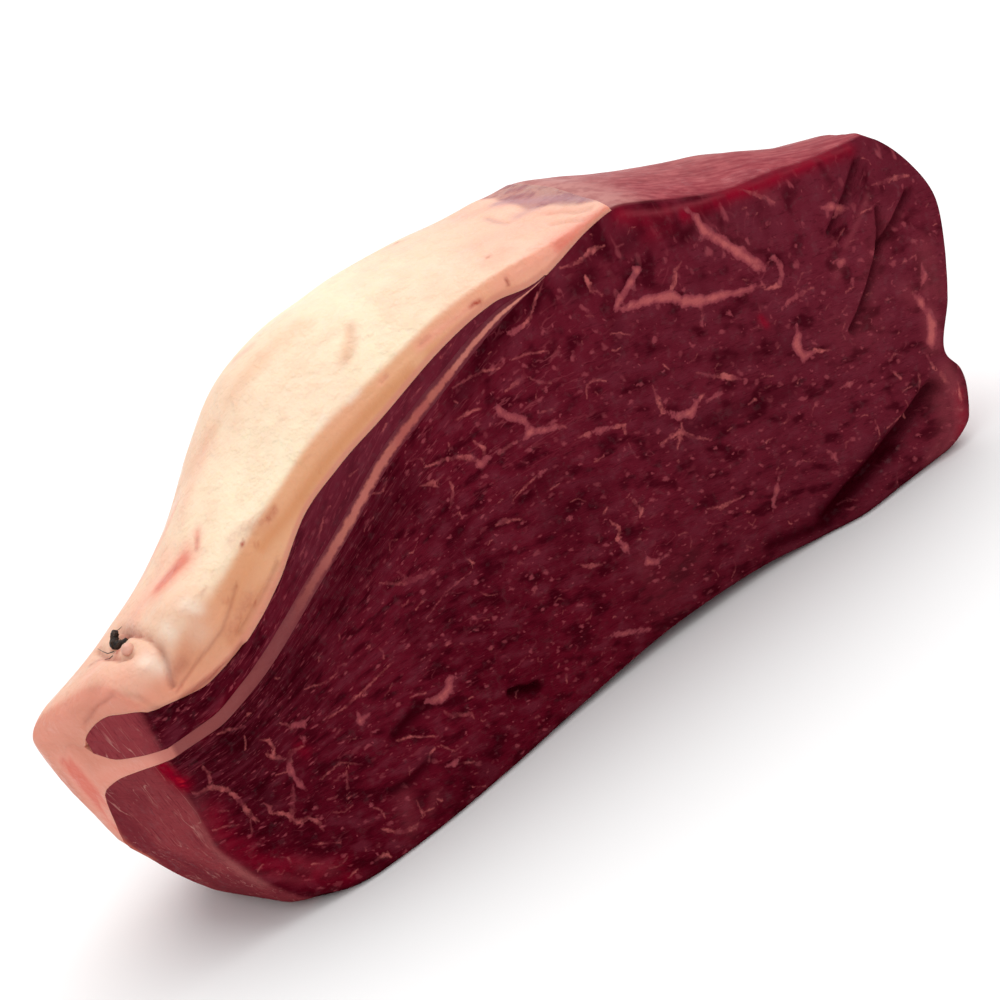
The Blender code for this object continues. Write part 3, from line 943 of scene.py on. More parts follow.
def twigs(taken):
    """Short kinked strokes, as segments like those of the main strokes."""
    segments = []
    for _ in range(TWIG_TRIES):
        if len(segments) >= 2 * TWIGS:
            break
        x = twig_chance.uniform(4, LENGTH - 6)
        z = twig_chance.uniform(2, TWIG_HIGHEST)
        tilt = np.arctan(grain_slope(x, z)) + twig_chance.normal(0, TWIG_SPREAD)
        if twig_chance.random() < TWIG_CROSSING:
            tilt += np.pi / 2
        length = TWIG_SHORTEST + twig_chance.exponential(TWIG_MORE)
        half_width = twig_chance.uniform(*TWIG_HALF_WIDTH)
        pair = []
        for kink in twig_chance.normal(0, TWIG_KINK, 2):
            stop_x = x + length * np.cos(tilt + kink)
            stop_z = z + length * np.sin(tilt + kink)
            pair.append((x, z, stop_x, stop_z, half_width, half_width * TWIG_THINNING))
            x, z = stop_x, stop_z
        covered = cells_under(pair[0]) | cells_under(pair[1])
        around = {(i + di, j + dj) for i, j in covered for di in (-1, 0, 1) for dj in (-1, 0, 1)}
        if z < smooth(LEAN_TOP, x) - TWIG_BELOW_SEAM and not around & taken:
            taken |= covered
            segments.extend(pair)
    return segments


taken = set()
for segment in main_segments:
    taken |= cells_under(segment)
twig_segments = twigs(taken)
print(len(twig_segments), "pieces of twigs")

# %% [markdown]
# The mesh cells are 0.75 mm wide, which is coarser than a fine vein. For a wide stroke each point
# keeps its distance to the stroke's edge, which is exact enough between points. For a thin one it
# keeps the way to the stroke, along and up: that way changes evenly across a cell, so even a hair
# line stays crisp. The plain distance tells true lines from places where two ways cancel out.

# %% Way from each point of a cut to its nearest stroke
REACH = 6.0                     # beyond this no stroke matters
WIDE_FROM = 0.72                # half width in mm from which a stroke counts as wide
WEB = 0.28                      # mm: how far wide strokes run together where they meet
BACK_STRAY = (7, 5)             # mm that the back cut's veins stray along and up from the front's
BACK_WAVE = (40, 40, 40)
ON_CUT = 0.01                   # mm: a point closer than this lies on the cut


def nearest_strokes(x, z, segments):
    """For each point: the way to its nearest thin stroke with the stroke's half width, how far that
    is from the stroke's edge, and the distance to the edge of the wide strokes, run together."""
    way = np.full((len(x), 3), (REACH, REACH, 0.01))
    best = np.full(len(x), REACH)
    pull = np.zeros(len(x))
    order = np.argsort(x)
    sorted_x = x[order]
    for ax, az, bx, bz, wide_a, wide_b in segments:
        start, stop = np.searchsorted(sorted_x, (min(ax, bx) - REACH, max(ax, bx) + REACH))
        near = order[start:stop]
        near = near[np.abs(z[near] - (az + bz) / 2) < REACH + abs(az - bz) / 2]
        if len(near) == 0:
            continue
        span_x, span_z = bx - ax, bz - az
        long = max(span_x ** 2 + span_z ** 2, 1e-9)
        share = np.clip(((x[near] - ax) * span_x + (z[near] - az) * span_z) / long, 0, 1)
        way_x = ax + share * span_x - x[near]
        way_z = az + share * span_z - z[near]
        half_width = wide_a + share * (wide_b - wide_a)
        distance = np.hypot(way_x, way_z)
        if max(wide_a, wide_b) >= WIDE_FROM:
            pull[near] += np.exp(-(np.hypot(distance, WEB) - half_width) / WEB)
            continue
        closer = distance - half_width < best[near]
        chosen = near[closer]
        best[chosen] = (distance - half_width)[closer]
        way[chosen] = np.stack([way_x, way_z, half_width], axis=-1)[closer]
    edge = np.minimum(-WEB * np.log(np.maximum(pull, 1e-9)), REACH)
    return way, best, edge


def mark_veins(piece, points, away, segments):
    """Write the strokes onto the front cut, and a shifted copy of them onto the back cut."""
    x, z = points[:, 0], points[:, 2]
    front_marks = nearest_strokes(x, z, segments)
    back_x = LENGTH - x + BACK_STRAY[0] * waves(points, BACK_WAVE, 21)
    back_z = z + BACK_STRAY[1] * waves(points, BACK_WAVE, 22)
    back_marks = nearest_strokes(back_x, back_z, segments)
    back_marks[0][:, 0] *= -1
    on_front = away[0] < ON_CUT
    on_back = away[1] < ON_CUT
    names = ("vein", "vein_reach", "vein_edge")
    for name, front_mark, back_mark in zip(names, front_marks, back_marks):
        front_mark[on_back] = back_mark[on_back]
        front_mark[~(on_front | on_back)] = (REACH, REACH, 0.01) if front_mark.ndim == 2 else REACH
        write_values(piece, name, front_mark)
    print(piece.name, "points inside a wide stroke:", int((front_marks[2] < 0).sum()))


mark_veins(lean, lean_points, lean_away, main_segments + twig_segments)
mark_veins(strip, strip_points, strip_away, strip_segments)

# %% [markdown]
# ## Where each finish lies
#
# The bare end of the muscle is covered by a thin purple membrane, the fat end shows muscle cut
# across its fibres, and wet red patches lie where blood has gathered. Each of these is a soft mask
# on the points of the mesh, from 0 to 1. Vertex groups could hold them, but plain attributes are
# what the shader reads directly.

# %% Masks of the muscles
MEMBRANE_START = (150, 160)     # where along the joint the membrane sets in, in mm
CREASE_SHADE_WIDTH = 0.7               # the painted shade is narrower than its crease


def on_wall(distance, others, thin=0.4, thick=2.2):
    """1 on a wall, easing to 0 at its edges with the other walls."""
    mask = 1 - ramp(thin, thick, distance)
    for other in others:
        mask = mask * ramp(thin, thick, other)
    return mask


def mark_muscle(piece, points, away):
    """Masks that both muscles use."""
    front, back, outer, left_end, right_end = away
    membrane = on_wall(outer, (front, back)) * ramp(*MEMBRANE_START, points[:, 0])
    write_values(piece, "membrane", membrane)
    write_values(piece, "end_cut", on_wall(left_end, (front,)))
    write_values(piece, "bare_end", on_wall(right_end, (front,)))
    write_values(piece, "grain_height", grain_height(points[:, 0], points[:, 2]))


def marks_on(points, marks):
    """Soft marks around traced paths: pixels of the picture, radius in pixels, strength."""
    total = np.zeros(len(points))
    for pixels, radius, strength in marks:
        path = trace(pixels)
        if len(path):
            away = line_distance(points, path) / (radius * PIXEL)
            total = np.maximum(total, strength * np.exp(-away ** 2))
    return total


def crease_shade(points):
    """Where the creases are, for the painted shade at their bottom."""
    total = np.zeros(len(points))
    for path, width, depth in creases:
        away = line_distance(points, path) / (CREASE_SHADE_WIDTH * width)
        total = np.maximum(total, min(depth, 1.0) * np.exp(-away ** 2))
    return total


print("reach of a mark of 10 pixels:", round(10 * PIXEL, 2), "mm")

# %% Marks on the muscles, traced on the picture
RED_MARKS = [
    ([(164, 768), (172, 777), (182, 784)], 8, 1.6), ([(620, 214), (645, 219), (668, 214)], 10, 0.7),
    ([(684, 214), (706, 206), (730, 195), (762, 184)], 8, 1.0),
    ([(762, 184), (800, 167), (848, 150)], 8, 0.95), ([(650, 235), (668, 226)], 10, 0.45),
    ([(957, 395), (958, 430), (945, 462), (925, 485)], 8, 0.6),
    ([(212, 815), (228, 842), (262, 862), (300, 872), (345, 876)], 14, 0.5),
    ([(285, 860), (320, 868), (345, 862)], 8, 0.45), ([(240, 690), (200, 735)], 8, 0.3),
    ([(300, 745), (306, 752)], 6, 0.6), ([(760, 318), (766, 325)], 4, 0.8)
]
# Pale marks: paler meat in places, and painted highlights on lit ridges, the lobe and the cut's edges.
PALE_AND_HIGHLIGHT_MARKS = [
    ([(925, 250), (938, 290)], 14, 0.45), ([(930, 312), (934, 345)], 10, 0.75),
    ([(905, 290), (918, 300)], 12, 0.35), ([(880, 225), (868, 300)], 18, 0.22),
    ([(845, 330), (870, 330)], 24, 0.20), ([(660, 600), (690, 560)], 20, 0.16),
    ([(944, 372), (953, 400), (955, 425), (942, 452), (918, 476)], 12, 0.85), ([(622, 214),
    (660, 213), (700, 203), (735, 190), (770, 178), (812, 160), (848, 147)], 3, 0.75),
    ([(925, 262), (928, 292)], 8, 0.6), ([(936, 318), (938, 345)], 6, 0.7),
    ([(884, 236), (896, 214)], 6, 0.35), ([(940, 398), (945, 430), (930, 458)], 10, 0.6),
    ([(868, 196), (858, 222), (846, 246)], 4, 0.5), ([(842, 262), (836, 276)], 7, 0.4),
    ([(198, 800), (207, 830), (222, 853), (243, 872), (262, 882)], 8, 0.35),
    ([(300, 866), (330, 870)], 8, 0.35), ([(405, 795), (410, 830)], 10, 0.3),
    ([(222, 850), (252, 872), (300, 880)], 5, 0.35), ([(700, 225), (745, 250)], 12, 0.12),
    ([(640, 560), (650, 580)], 10, 0.2), ([(436, 795), (430, 812)], 5, 0.3),
    ([(760, 190), (775, 200)], 6, 0.3)
]
# Dark marks: darker meat in places, and painted shade in the crevice, the furrows and the slit near the
# base.
DARK_AND_SHADE_MARKS = [
    ([(826, 516), (850, 490), (872, 465), (890, 444)], 15, 1.0), ([(770, 545), (830, 522)], 9, 0.9),
    ([(330, 610), (360, 560), (400, 500)], 26, 0.55), ([(290, 680), (310, 650)], 22, 0.5),
    ([(455, 400), (480, 360), (520, 300)], 12, 0.6), ([(575, 290), (590, 278)], 12, 0.7),
    ([(625, 245), (640, 228)], 12, 0.5), ([(228, 738), (246, 745)], 12, 0.7),
    ([(262, 790), (268, 800)], 12, 0.6), ([(396, 735), (420, 708)], 8, 0.8),
    ([(695, 225), (682, 238)], 8, 0.8), ([(512, 693), (538, 687)], 5, 1.0),
    ([(440, 800), (470, 780), (500, 740)], 16, 0.4), ([(555, 515), (600, 490)], 22, 0.35),
    ([(610, 300), (620, 350)], 10, 0.4), ([(640, 265), (615, 300)], 6, 0.5),
    ([(720, 360), (790, 345)], 12, 0.35), ([(700, 180), (720, 172)], 5, 0.3),
    ([(520, 500), (560, 470)], 14, 0.4), ([(775, 150), (850, 152)], 5, 0.3)
]
FATTY_MARKS = [
    ([(112, 822), (120, 834), (129, 843), (140, 851), (152, 857)], 5, 0.9)
]
MUSCLE_MARKS = {"red": RED_MARKS, "pale_and_highlight": PALE_AND_HIGHLIGHT_MARKS, "dark_and_shade": DARK_AND_SHADE_MARKS, "fatty": FATTY_MARKS}
for piece, points, away in ((lean, lean_points, lean_away), (strip, strip_points, strip_away)):
    mark_muscle(piece, points, away)
    # The crease share is painted shade along the bottom of each crease.
    write_values(piece, "painted_crease_shade", crease_shade(points))
    for name, marks in MUSCLE_MARKS.items():
        write_values(piece, name, marks_on(points, marks))
print("muscle masks written")

# %% Marks on the fat, traced on the picture
PINK_MARKS = [
    ([(562, 245), (578, 236), (596, 222), (612, 211)], 20, 1.0),
    ([(530, 262), (560, 245)], 12, 0.6), ([(534, 250), (552, 240), (572, 229)], 8, 0.5),
    ([(530, 262), (500, 285)], 10, 0.6), ([(545, 212), (570, 208), (595, 208)], 12, 0.6),
    ([(530, 225), (480, 245)], 24, 0.4), ([(440, 275), (400, 300)], 26, 0.18),
    ([(420, 345), (440, 328), (475, 303)], 6, 0.7), ([(384, 376), (380, 382)], 4, 0.35),
    ([(197, 530), (196, 548)], 6, 0.8), ([(100, 690), (130, 680), (155, 700)], 18, 0.5),
    ([(70, 765), (85, 785), (98, 800)], 16, 1.3), ([(100, 748), (112, 742)], 12, 0.6),
    ([(40, 735), (60, 715)], 18, 0.6), ([(85, 790), (110, 775), (150, 765)], 14, 0.75),
    ([(100, 812), (125, 835)], 12, 0.9), ([(116, 828), (145, 849), (162, 861)], 10, 1.2),
    ([(100, 660), (80, 690), (55, 712)], 12, 0.45), ([(236, 360), (252, 347)], 7, 0.5),
    ([(390, 247), (404, 241)], 6, 0.4), ([(152, 556), (162, 540), (176, 505)], 9, 0.6),
    ([(125, 605), (140, 580)], 12, 0.45), ([(225, 665), (250, 640), (275, 585)], 9, 0.5),
    ([(165, 712), (200, 694), (225, 668)], 7, 0.8), ([(290, 560), (303, 528)], 7, 0.35),
    ([(470, 215), (500, 205)], 14, 0.4), ([(505, 250), (490, 262)], 18, 0.5),
    ([(160, 585), (182, 560)], 20, 1.0), ([(150, 660), (165, 690)], 14, 0.35),
    ([(130, 625), (150, 590), (165, 560)], 20, 0.5), ([(180, 520), (205, 450)], 12, 0.3)
]
BLOOD_MARKS = [
    ([(113, 634), (118, 652)], 6, 0.85), ([(248, 600), (232, 632)], 9, 0.35),
    ([(472, 304), (479, 301)], 3.5, 1.0), ([(268, 516), (274, 507)], 3.5, 0.7),
    ([(242, 545), (244, 541)], 2.4, 1.0), ([(256, 541), (257, 542)], 1.8, 0.7),
    ([(232, 540), (246, 528), (262, 518)], 9, 0.35), ([(420, 342), (430, 334)], 2, 0.4),
    ([(382, 379), (388, 373)], 1.8, 0.35), ([(506, 277), (508, 285)], 1.6, 0.6),
    ([(196, 538), (197, 546)], 3.5, 0.4), ([(487, 258), (490, 256)], 2, 0.5),
    ([(202, 598), (206, 590)], 2, 0.35), ([(254, 604), (257, 601)], 2, 0.6),
    ([(225, 600), (228, 598)], 2, 0.45), ([(174, 570), (177, 566)], 2, 0.4),
    ([(120, 631), (136, 631), (152, 638)], 2.4, 0.65),
    ([(90, 665), (104, 656), (118, 658)], 2.2, 0.55), ([(66, 781), (72, 786)], 2, 0.45),
    ([(396, 244), (399, 242)], 1.8, 0.7), ([(150, 556), (156, 548)], 2.5, 0.6),
    ([(176, 690), (180, 684)], 2, 0.4), ([(212, 576), (214, 572)], 1.5, 0.3)
]
GOLD_MARKS = [
    ([(262, 545), (292, 510), (326, 462), (366, 416), (410, 374)], 9, 1.0),
    ([(430, 352), (470, 320), (510, 290)], 7, 0.7), ([(250, 560), (232, 600)], 14, 0.6),
    ([(215, 640), (190, 655)], 16, 0.35), ([(40, 728), (52, 742)], 10, 0.6),
    ([(350, 328), (346, 356)], 6, 0.5), ([(230, 400), (250, 372), (300, 325)], 14, 0.35),
    ([(190, 470), (215, 425)], 12, 0.35), ([(160, 590), (182, 558)], 16, 0.45),
    ([(232, 640), (246, 618), (262, 590)], 9, 0.7), ([(196, 610), (206, 640)], 16, 0.4)
]
MAUVE_MARKS = [
    ([(498, 204), (528, 200), (560, 197)], 8, 0.9), ([(534, 208), (518, 216)], 8, 0.55),
    ([(565, 197), (604, 204)], 5, 0.9), ([(486, 219), (505, 224)], 4, 0.35)
]
# Painted highlights on the glossy lumps and the top of the fat.
PAINTED_HIGHLIGHT_MARKS = [
    ([(188, 608), (198, 612)], 8, 0.8), ([(166, 630), (171, 636)], 7, 0.7),
    ([(148, 664), (160, 668)], 9, 0.8), ([(198, 630), (200, 634)], 12, 0.35),
    ([(350, 400), (358, 392)], 4, 0.5), ([(318, 425), (324, 418)], 5, 0.4)
]
print("pink and blood marks:", len(PINK_MARKS), "and", len(BLOOD_MARKS))

# %% Masks of the fat
RIM = 2.4                       # mm of the fat's cut next to the strip that are paler and pinker
ROSY_END = 52.0                 # mm from the fat end over which the fat turns pink
ROSY_BEHIND = (15, 50)          # mm behind the front cut from where it is pink as well
ROSY_BEHIND_ENDS = (40, 95)     # where along the joint that ends
ROSY_FAR = (100, 165)           # where it turns pink again toward its far end
FAT_MARKS = {"pink": PINK_MARKS, "blood": BLOOD_MARKS, "gold": GOLD_MARKS, "mauve": MAUVE_MARKS,
             "painted_highlight": PAINTED_HIGHLIGHT_MARKS}

skin_line = trace([(488, 199), (510, 203), (532, 208), (556, 204), (580, 202), (602, 203),
                   (614, 208)])
skin_line = skin_line[np.argsort(skin_line[:, 1])]


def skin_over_fat(points):
    """1 where the purple membrane laps over the far end of the fat, beyond a traced line."""
    starts = np.interp(points[:, 1], skin_line[:, 1], skin_line[:, 0])
    return ramp(-1.2, 1.4, points[:, 0] - starts + 1.6 * waves(points, (6, 5, 20), 31))


for piece, points, away in ((seam, seam_points, seam_away), (cap, cap_points, cap_away)):
    for name, marks in FAT_MARKS.items():
        write_values(piece, name, marks_on(points, marks))
    on_cuts = np.minimum(away[0], away[1])
    write_values(piece, "on_cut", on_wall(on_cuts, (), 0.8, 3.2))
    write_values(piece, "end_cut", on_wall(away[3], ()))
    write_values(piece, "painted_crease_shade", crease_shade(points))
    write_values(piece, "skin", skin_over_fat(points) * (piece is cap))
    behind = ramp(*ROSY_BEHIND, points[:, 1]) * (1 - ramp(*ROSY_BEHIND_ENDS, points[:, 0]))
    write_values(piece, "rosy_end", np.maximum(1 - ramp(0, ROSY_END, points[:, 0]), 0.8 * behind))
    write_values(piece, "rosy_far", ramp(*ROSY_FAR, points[:, 0]))
    over_strip = points[:, 2] - under_fat(points[:, 0], np.zeros(len(points)))
    rim = (1 - ramp(0.5 * RIM, RIM, over_strip)) * (away[0] < ON_CUT)
    write_values(piece, "rim", rim * (piece is cap))
    low = lean_top(points[:, 0], points[:, 1])
    height_share = (points[:, 2] - low) / (seam_top(points[:, 0], points[:, 1]) - low)
    thinning = ramp(2, 10, points[:, 0]) * (1 + 0.5 * ramp(85, 130, points[:, 0]))
    write_values(piece, "off_middle", np.abs(2 * height_share - 1) * (piece is seam) * thinning)
print("fat masks written")

# %% [markdown]
# ## Small helpers for shader nodes
#
# Node trees are long to write one socket at a time. A few helpers that add a node and hand back its
# output keep each material short enough to read.

# %% Node helpers
def wire(tree, source, target):
    """Join a socket to an input, or set the input to a plain value."""
    if isinstance(source, bpy.types.NodeSocket):
        tree.links.new(source, target)
    else:
        target.default_value = source


def maths(tree, operation, *values, clamp=False):
    """One step of arithmetic."""
    step = tree.nodes.new("ShaderNodeMath")
    step.operation = operation
    step.use_clamp = clamp
    for value, socket in zip(values, step.inputs):
        wire(tree, value, socket)
    return step.outputs[0]


def times(tree, first, second, clamp=False):
    """The product of two values."""
    return maths(tree, "MULTIPLY", first, second, clamp=clamp)


def vector_maths(tree, operation, *values):
    """One step of arithmetic on vectors."""
    step = tree.nodes.new("ShaderNodeVectorMath")
    step.operation = operation
    for value, socket in zip(values, step.inputs):
        wire(tree, value, socket)
    return step.outputs["Value"] if operation == "LENGTH" else step.outputs["Vector"]


def ease(tree, value, low, high, start=0.0, stop=1.0):
    """Ease a value from start at low to stop at high."""
    step = tree.nodes.new("ShaderNodeMapRange")
    step.interpolation_type = "SMOOTHSTEP"
    for name, part in (("Value", value), ("From Min", low), ("From Max", high), ("To Min", start),
                       ("To Max", stop)):
        wire(tree, part, step.inputs[name])
    return step.outputs["Result"]


def blend(tree, share, first, second):
    """Mix two colours."""
    step = tree.nodes.new("ShaderNodeMix")
    step.data_type = "RGBA"
    for number, part in ((0, share), (6, first), (7, second)):
        wire(tree, part, step.inputs[number])
    return step.outputs[2]


def layered(tree, colour, *layers):
    """Lay tones over a colour one after another, each with its share."""
    for share, tone in layers:
        colour = blend(tree, share, colour, tone)
    return colour


def noise(tree, at, detail=2.0, roughness=0.5):
    """Soft noise from 0 to 1, one blob a unit."""
    step = tree.nodes.new("ShaderNodeTexNoise")
    wire(tree, at, step.inputs["Vector"])
    step.inputs["Scale"].default_value = 1.0
    step.inputs["Detail"].default_value = detail
    step.inputs["Roughness"].default_value = roughness
    return step.outputs[0]


def marked(tree, name, vector=False):
    """Read what the points of the mesh keep under a name."""
    step = tree.nodes.new("ShaderNodeAttribute")
    step.attribute_name = name
    return step.outputs["Vector"] if vector else step.outputs["Fac"]


def part_of(tree, name, amount, clamp=False):
    """What the points of the mesh keep under a name, times an amount."""
    return times(tree, marked(tree, name), amount, clamp=clamp)


def joined(tree, x, y, z):
    """Three values as one vector."""
    step = tree.nodes.new("ShaderNodeCombineXYZ")
    for value, socket in zip((x, y, z), step.inputs):
        wire(tree, value, socket)
    return step.outputs[0]


def split(tree, vector):
    """The three parts of a vector."""
    step = tree.nodes.new("ShaderNodeSeparateXYZ")
    wire(tree, vector, step.inputs[0])
    return step.outputs


def paint(red, green, blue):
    """A colour given as it shows on a screen, 0 to 255, in the light values that shaders use."""
    shown = np.array((red, green, blue)) / 255
    light = np.where(shown <= 0.04045, shown / 12.92, ((shown + 0.055) / 1.055) ** 2.4)
    return (*light, 1.0)


print("node helpers ready")

# %% Group helper
def new_group(name, inputs, outputs):
    """A shader node group: its tree, inputs and output node. An input without value is a vector."""
    tree = bpy.data.node_groups.new(name, "ShaderNodeTree")
    for label, value in inputs.items():
        kind = "NodeSocketVector" if value is None else "NodeSocketFloat"
        socket = tree.interface.new_socket(label, in_out="INPUT", socket_type=kind)
        if value is not None:
            socket.default_value = value
    for label in outputs:
        tree.interface.new_socket(label, in_out="OUTPUT", socket_type="NodeSocketFloat")
    source = tree.nodes.new("NodeGroupInput")
    result = tree.nodes.new("NodeGroupOutput")
    return tree, source.outputs, result


def use_group(tree, group, **values):
    """Place a group in a material; a value is named by its socket, with _ for a space."""
    step = tree.nodes.new("ShaderNodeGroup")
    step.node_tree = group
    for name, value in values.items():
        wire(tree, value, step.inputs[name.replace("_", " ")])
    return step.outputs


def millimetres(tree):
    """Where a point of the surface is, in millimetres."""
    at = tree.nodes.new("ShaderNodeTexCoord")
    return vector_maths(tree, "MULTIPLY", at.outputs["Object"], (1000, 1000, 1000))


print("group helpers ready")

# %% [markdown]
# ## Shared effects
#
# Both muscles have grain, and all tissues have cloudy patches and a wet film. Each is a node group,
# built once and placed with its own values. Marbling is a group too: it bends the way to the nearest
# stroke with fine noise, so that an even stroke gets the ragged edge of real fat. Fine threads and
# flecks fill the room between the strokes.

# %% Cloudy patches
patches_group, given, result = new_group(
    "cloudy patches",
    {"Place": None, "Size": 10.0, "Low": 0.35, "High": 0.65},
    ["Patches"])
net = patches_group
at = vector_maths(net, "DIVIDE", given["Place"], joined(net, *[given["Size"]] * 3))
cloud = noise(net, at, 3.0, 0.55)
wire(net, ease(net, cloud, given["Low"], given["High"]), result.inputs["Patches"])
print("group:", patches_group.name)

# %% Fibre grain
grain_group, given, result = new_group(
    "fibre grain",
    {"Along": 0.0, "Across": 0.0, "Deep": 0.0, "Strand": 0.5, "Stretch": 8.0},
    ["Strands"])
net = grain_group
long_strand = times(net, given["Strand"], given["Stretch"])
strand_at = joined(net,
                   maths(net, "DIVIDE", given["Along"], long_strand),
                   maths(net, "DIVIDE", given["Across"], given["Strand"]),
                   maths(net, "DIVIDE", given["Deep"], given["Strand"]))
wire(net, noise(net, strand_at, 2.0, 0.6), result.inputs["Strands"])
print("group:", grain_group.name)

# %% Marbling
marbling_group, given, result = new_group(
    "marbling",
    {"Way": None, "Reach": REACH, "Edge": REACH, "Place": None, "Ragged": 0.3, "Soft": 0.2},
    ["Thin", "Wide", "Core"])
net = marbling_group


def wobble(tree, at, shift, size):
    """Ragged noise around 0, from a shifted place."""
    shrunk = vector_maths(tree, "MULTIPLY", at, (1 / size,) * 3)
    moved = vector_maths(tree, "ADD", shrunk, (shift,) * 3)
    return maths(tree, "SUBTRACT", noise(tree, moved, 3.0, 0.6), 0.5)


way_along, way_up, half_width = split(net, given["Way"])
sway = times(net, given["Ragged"], 2.6)
way_here = joined(net,
                  maths(net, "MULTIPLY_ADD", wobble(net, given["Place"], 0, 1.1), sway, way_along),
                  maths(net, "MULTIPLY_ADD", wobble(net, given["Place"], 37, 1.1), sway, way_up),
                  0.0)
swelling = ease(net, wobble(net, given["Place"], 91, 1.6), -0.2, 0.2, 0.45, 1.5)
to_edge = maths(net, "SUBTRACT", vector_maths(net, "LENGTH", way_here),
                times(net, half_width, swelling))
line = ease(net, to_edge, times(net, given["Soft"], -0.8), given["Soft"], 1.0, 0.0)
true_near = ease(net, given["Reach"], 0.6, 1.0, 1.0, 0.0)
broken = ease(net, wobble(net, given["Place"], 71, 3.0), -0.16, 0.12, 0.25, 1.0)
line = times(net, times(net, line, true_near), broken)
wire(net, line, result.inputs["Thin"])
edge_here = maths(net, "MULTIPLY_ADD", wobble(net, given["Place"], 13, 2.6), 2.2, given["Edge"])
edge_here = maths(net, "MULTIPLY_ADD", wobble(net, given["Place"], 53, 1.3), 0.6, edge_here)
wire(net, ease(net, edge_here, -0.35, 0.2, 1.0, 0.0), result.inputs["Wide"])
wire(net, ease(net, edge_here, -1.4, -0.2, 1.0, 0.0), result.inputs["Core"])
print("group:", marbling_group.name)

# %% Fine threads
threads_group, given, result = new_group(
    "fine threads",
    {"Along": 0.0, "Across": 0.0, "Deep": 0.0, "Size": 3.0, "Stretch": 2.5, "Width": 0.03,
     "Cover": 0.5},
    ["Threads"])
net = threads_group
long_thread = times(net, given["Size"], given["Stretch"])
thread_at = joined(net,
                   maths(net, "DIVIDE", given["Along"], long_thread),
                   maths(net, "DIVIDE", given["Across"], given["Size"]),
                   maths(net, "DIVIDE", given["Deep"], given["Size"]))
kink = vector_maths(net, "MULTIPLY", thread_at, (2.3, 2.3, 2.3))
kink_noise = noise(net, kink, 1.0)
kink_by = times(net, kink_noise, 0.5)
thread_at = vector_maths(net, "ADD", thread_at, joined(net, kink_by, kink_by, 0.0))
off_middle = maths(net, "ABSOLUTE", maths(net, "SUBTRACT", noise(net, thread_at, 1.0), 0.5))
ridge = ease(net, off_middle, 0.0, given["Width"], 1.0, 0.0)
patch_at = vector_maths(net, "ADD", vector_maths(net, "MULTIPLY", thread_at, (0.9, 0.9, 0.9)),
                        (19.0, 7.0, 3.0))
kept = ease(net, noise(net, patch_at, 2.0), given["Cover"],
            maths(net, "ADD", given["Cover"], 0.14))
wire(net, times(net, ridge, kept), result.inputs["Threads"])
print("group:", threads_group.name)

# %% Flecks
flecks_group, given, result = new_group(
    "flecks",
    {"Along": 0.0, "Across": 0.0, "Size": 3.0, "Stretch": 1.5, "Radius": 0.13, "Cover": 0.4},
    ["Flecks"])
net = flecks_group
long_fleck = times(net, given["Size"], given["Stretch"])
fleck_at = joined(net, maths(net, "DIVIDE", given["Along"], long_fleck),
                  maths(net, "DIVIDE", given["Across"], given["Size"]), 0.0)
sideways = noise(net, vector_maths(net, "MULTIPLY", fleck_at, (2.6, 2.6, 1.0)), 2.0)
lengthways = noise(net, vector_maths(net, "ADD", fleck_at, (31.0, 17.0, 0.0)), 2.0)
fleck_at = vector_maths(net, "ADD", fleck_at,
                        joined(net, times(net, lengthways, 0.8),
                               times(net, sideways, 0.7), 0.0))
cells = net.nodes.new("ShaderNodeTexVoronoi")
cells.voronoi_dimensions = "2D"
cells.inputs["Scale"].default_value = 1.0
wire(net, fleck_at, cells.inputs["Vector"])
size_chance, share_chance, _ = split(net, cells.outputs["Color"])
radius_here = times(net, given["Radius"], ease(net, size_chance, 0.0, 1.0, 0.5, 1.6))
fleck = ease(net, cells.outputs["Distance"], times(net, radius_here, 0.35),
             times(net, radius_here, 1.3), 1.0, 0.0)
kept = ease(net, share_chance, given["Cover"], maths(net, "ADD", given["Cover"], 0.5))
wire(net, times(net, fleck, kept), result.inputs["Flecks"])
print("group:", flecks_group.name)

# %% Wet film
wet_group, given, result = new_group(
    "wet film",
    {"Place": None, "Size": 6.0, "Dry": 0.5, "Wet": 0.25},
    ["Film", "Roughness"])
net = wet_group
at = vector_maths(net, "DIVIDE", given["Place"], joined(net, *[given["Size"]] * 3))
film = ease(net, noise(net, at, 4.0, 0.6), 0.42, 0.68)
wire(net, film, result.inputs["Film"])
spread = maths(net, "SUBTRACT", given["Wet"], given["Dry"])
wire(net, maths(net, "MULTIPLY_ADD", film, spread, given["Dry"]), result.inputs["Roughness"])
print("group:", wet_group.name)

# %% [markdown]
# ## The muscle finish
#
# The cut of beef silverside is deep wine red, darker near the seam and pinker toward the bare end.
# Fine strands run along the joint, pale veins branch between bundles, and the film of moisture
# gives only small glints. One image texture would be the usual way in a game, but layered masks
# stay sharp at any distance and also cover the sides that the picture doesn't show.

# %% Colours of the muscle
LEAN_MID = paint(97, 18, 34)
LEAN_DARK = paint(50, 0, 10)
LEAN_PINK = paint(108, 38, 52)
LEAN_RED = paint(140, 4, 34)
BLOOD_RED = paint(184, 26, 42)
LEAN_LOW = paint(92, 4, 24)
VEIN = paint(188, 94, 94)
VEIN_FAINT = paint(142, 60, 70)
MEMBRANE = paint(172, 84, 89)
MEMBRANE_DARK = paint(146, 56, 66)
# Grey of the membrane: partly its own colour, partly painted sheen.
MEMBRANE_GREY_AND_SHEEN = paint(196, 138, 132)
END_TONE = paint(150, 62, 68)
END_PALE = paint(192, 126, 120)
FATTY = paint(212, 116, 98)
END_DARK = paint(110, 34, 46)
print("lean mid in light values", np.round(LEAN_MID, 4).tolist())

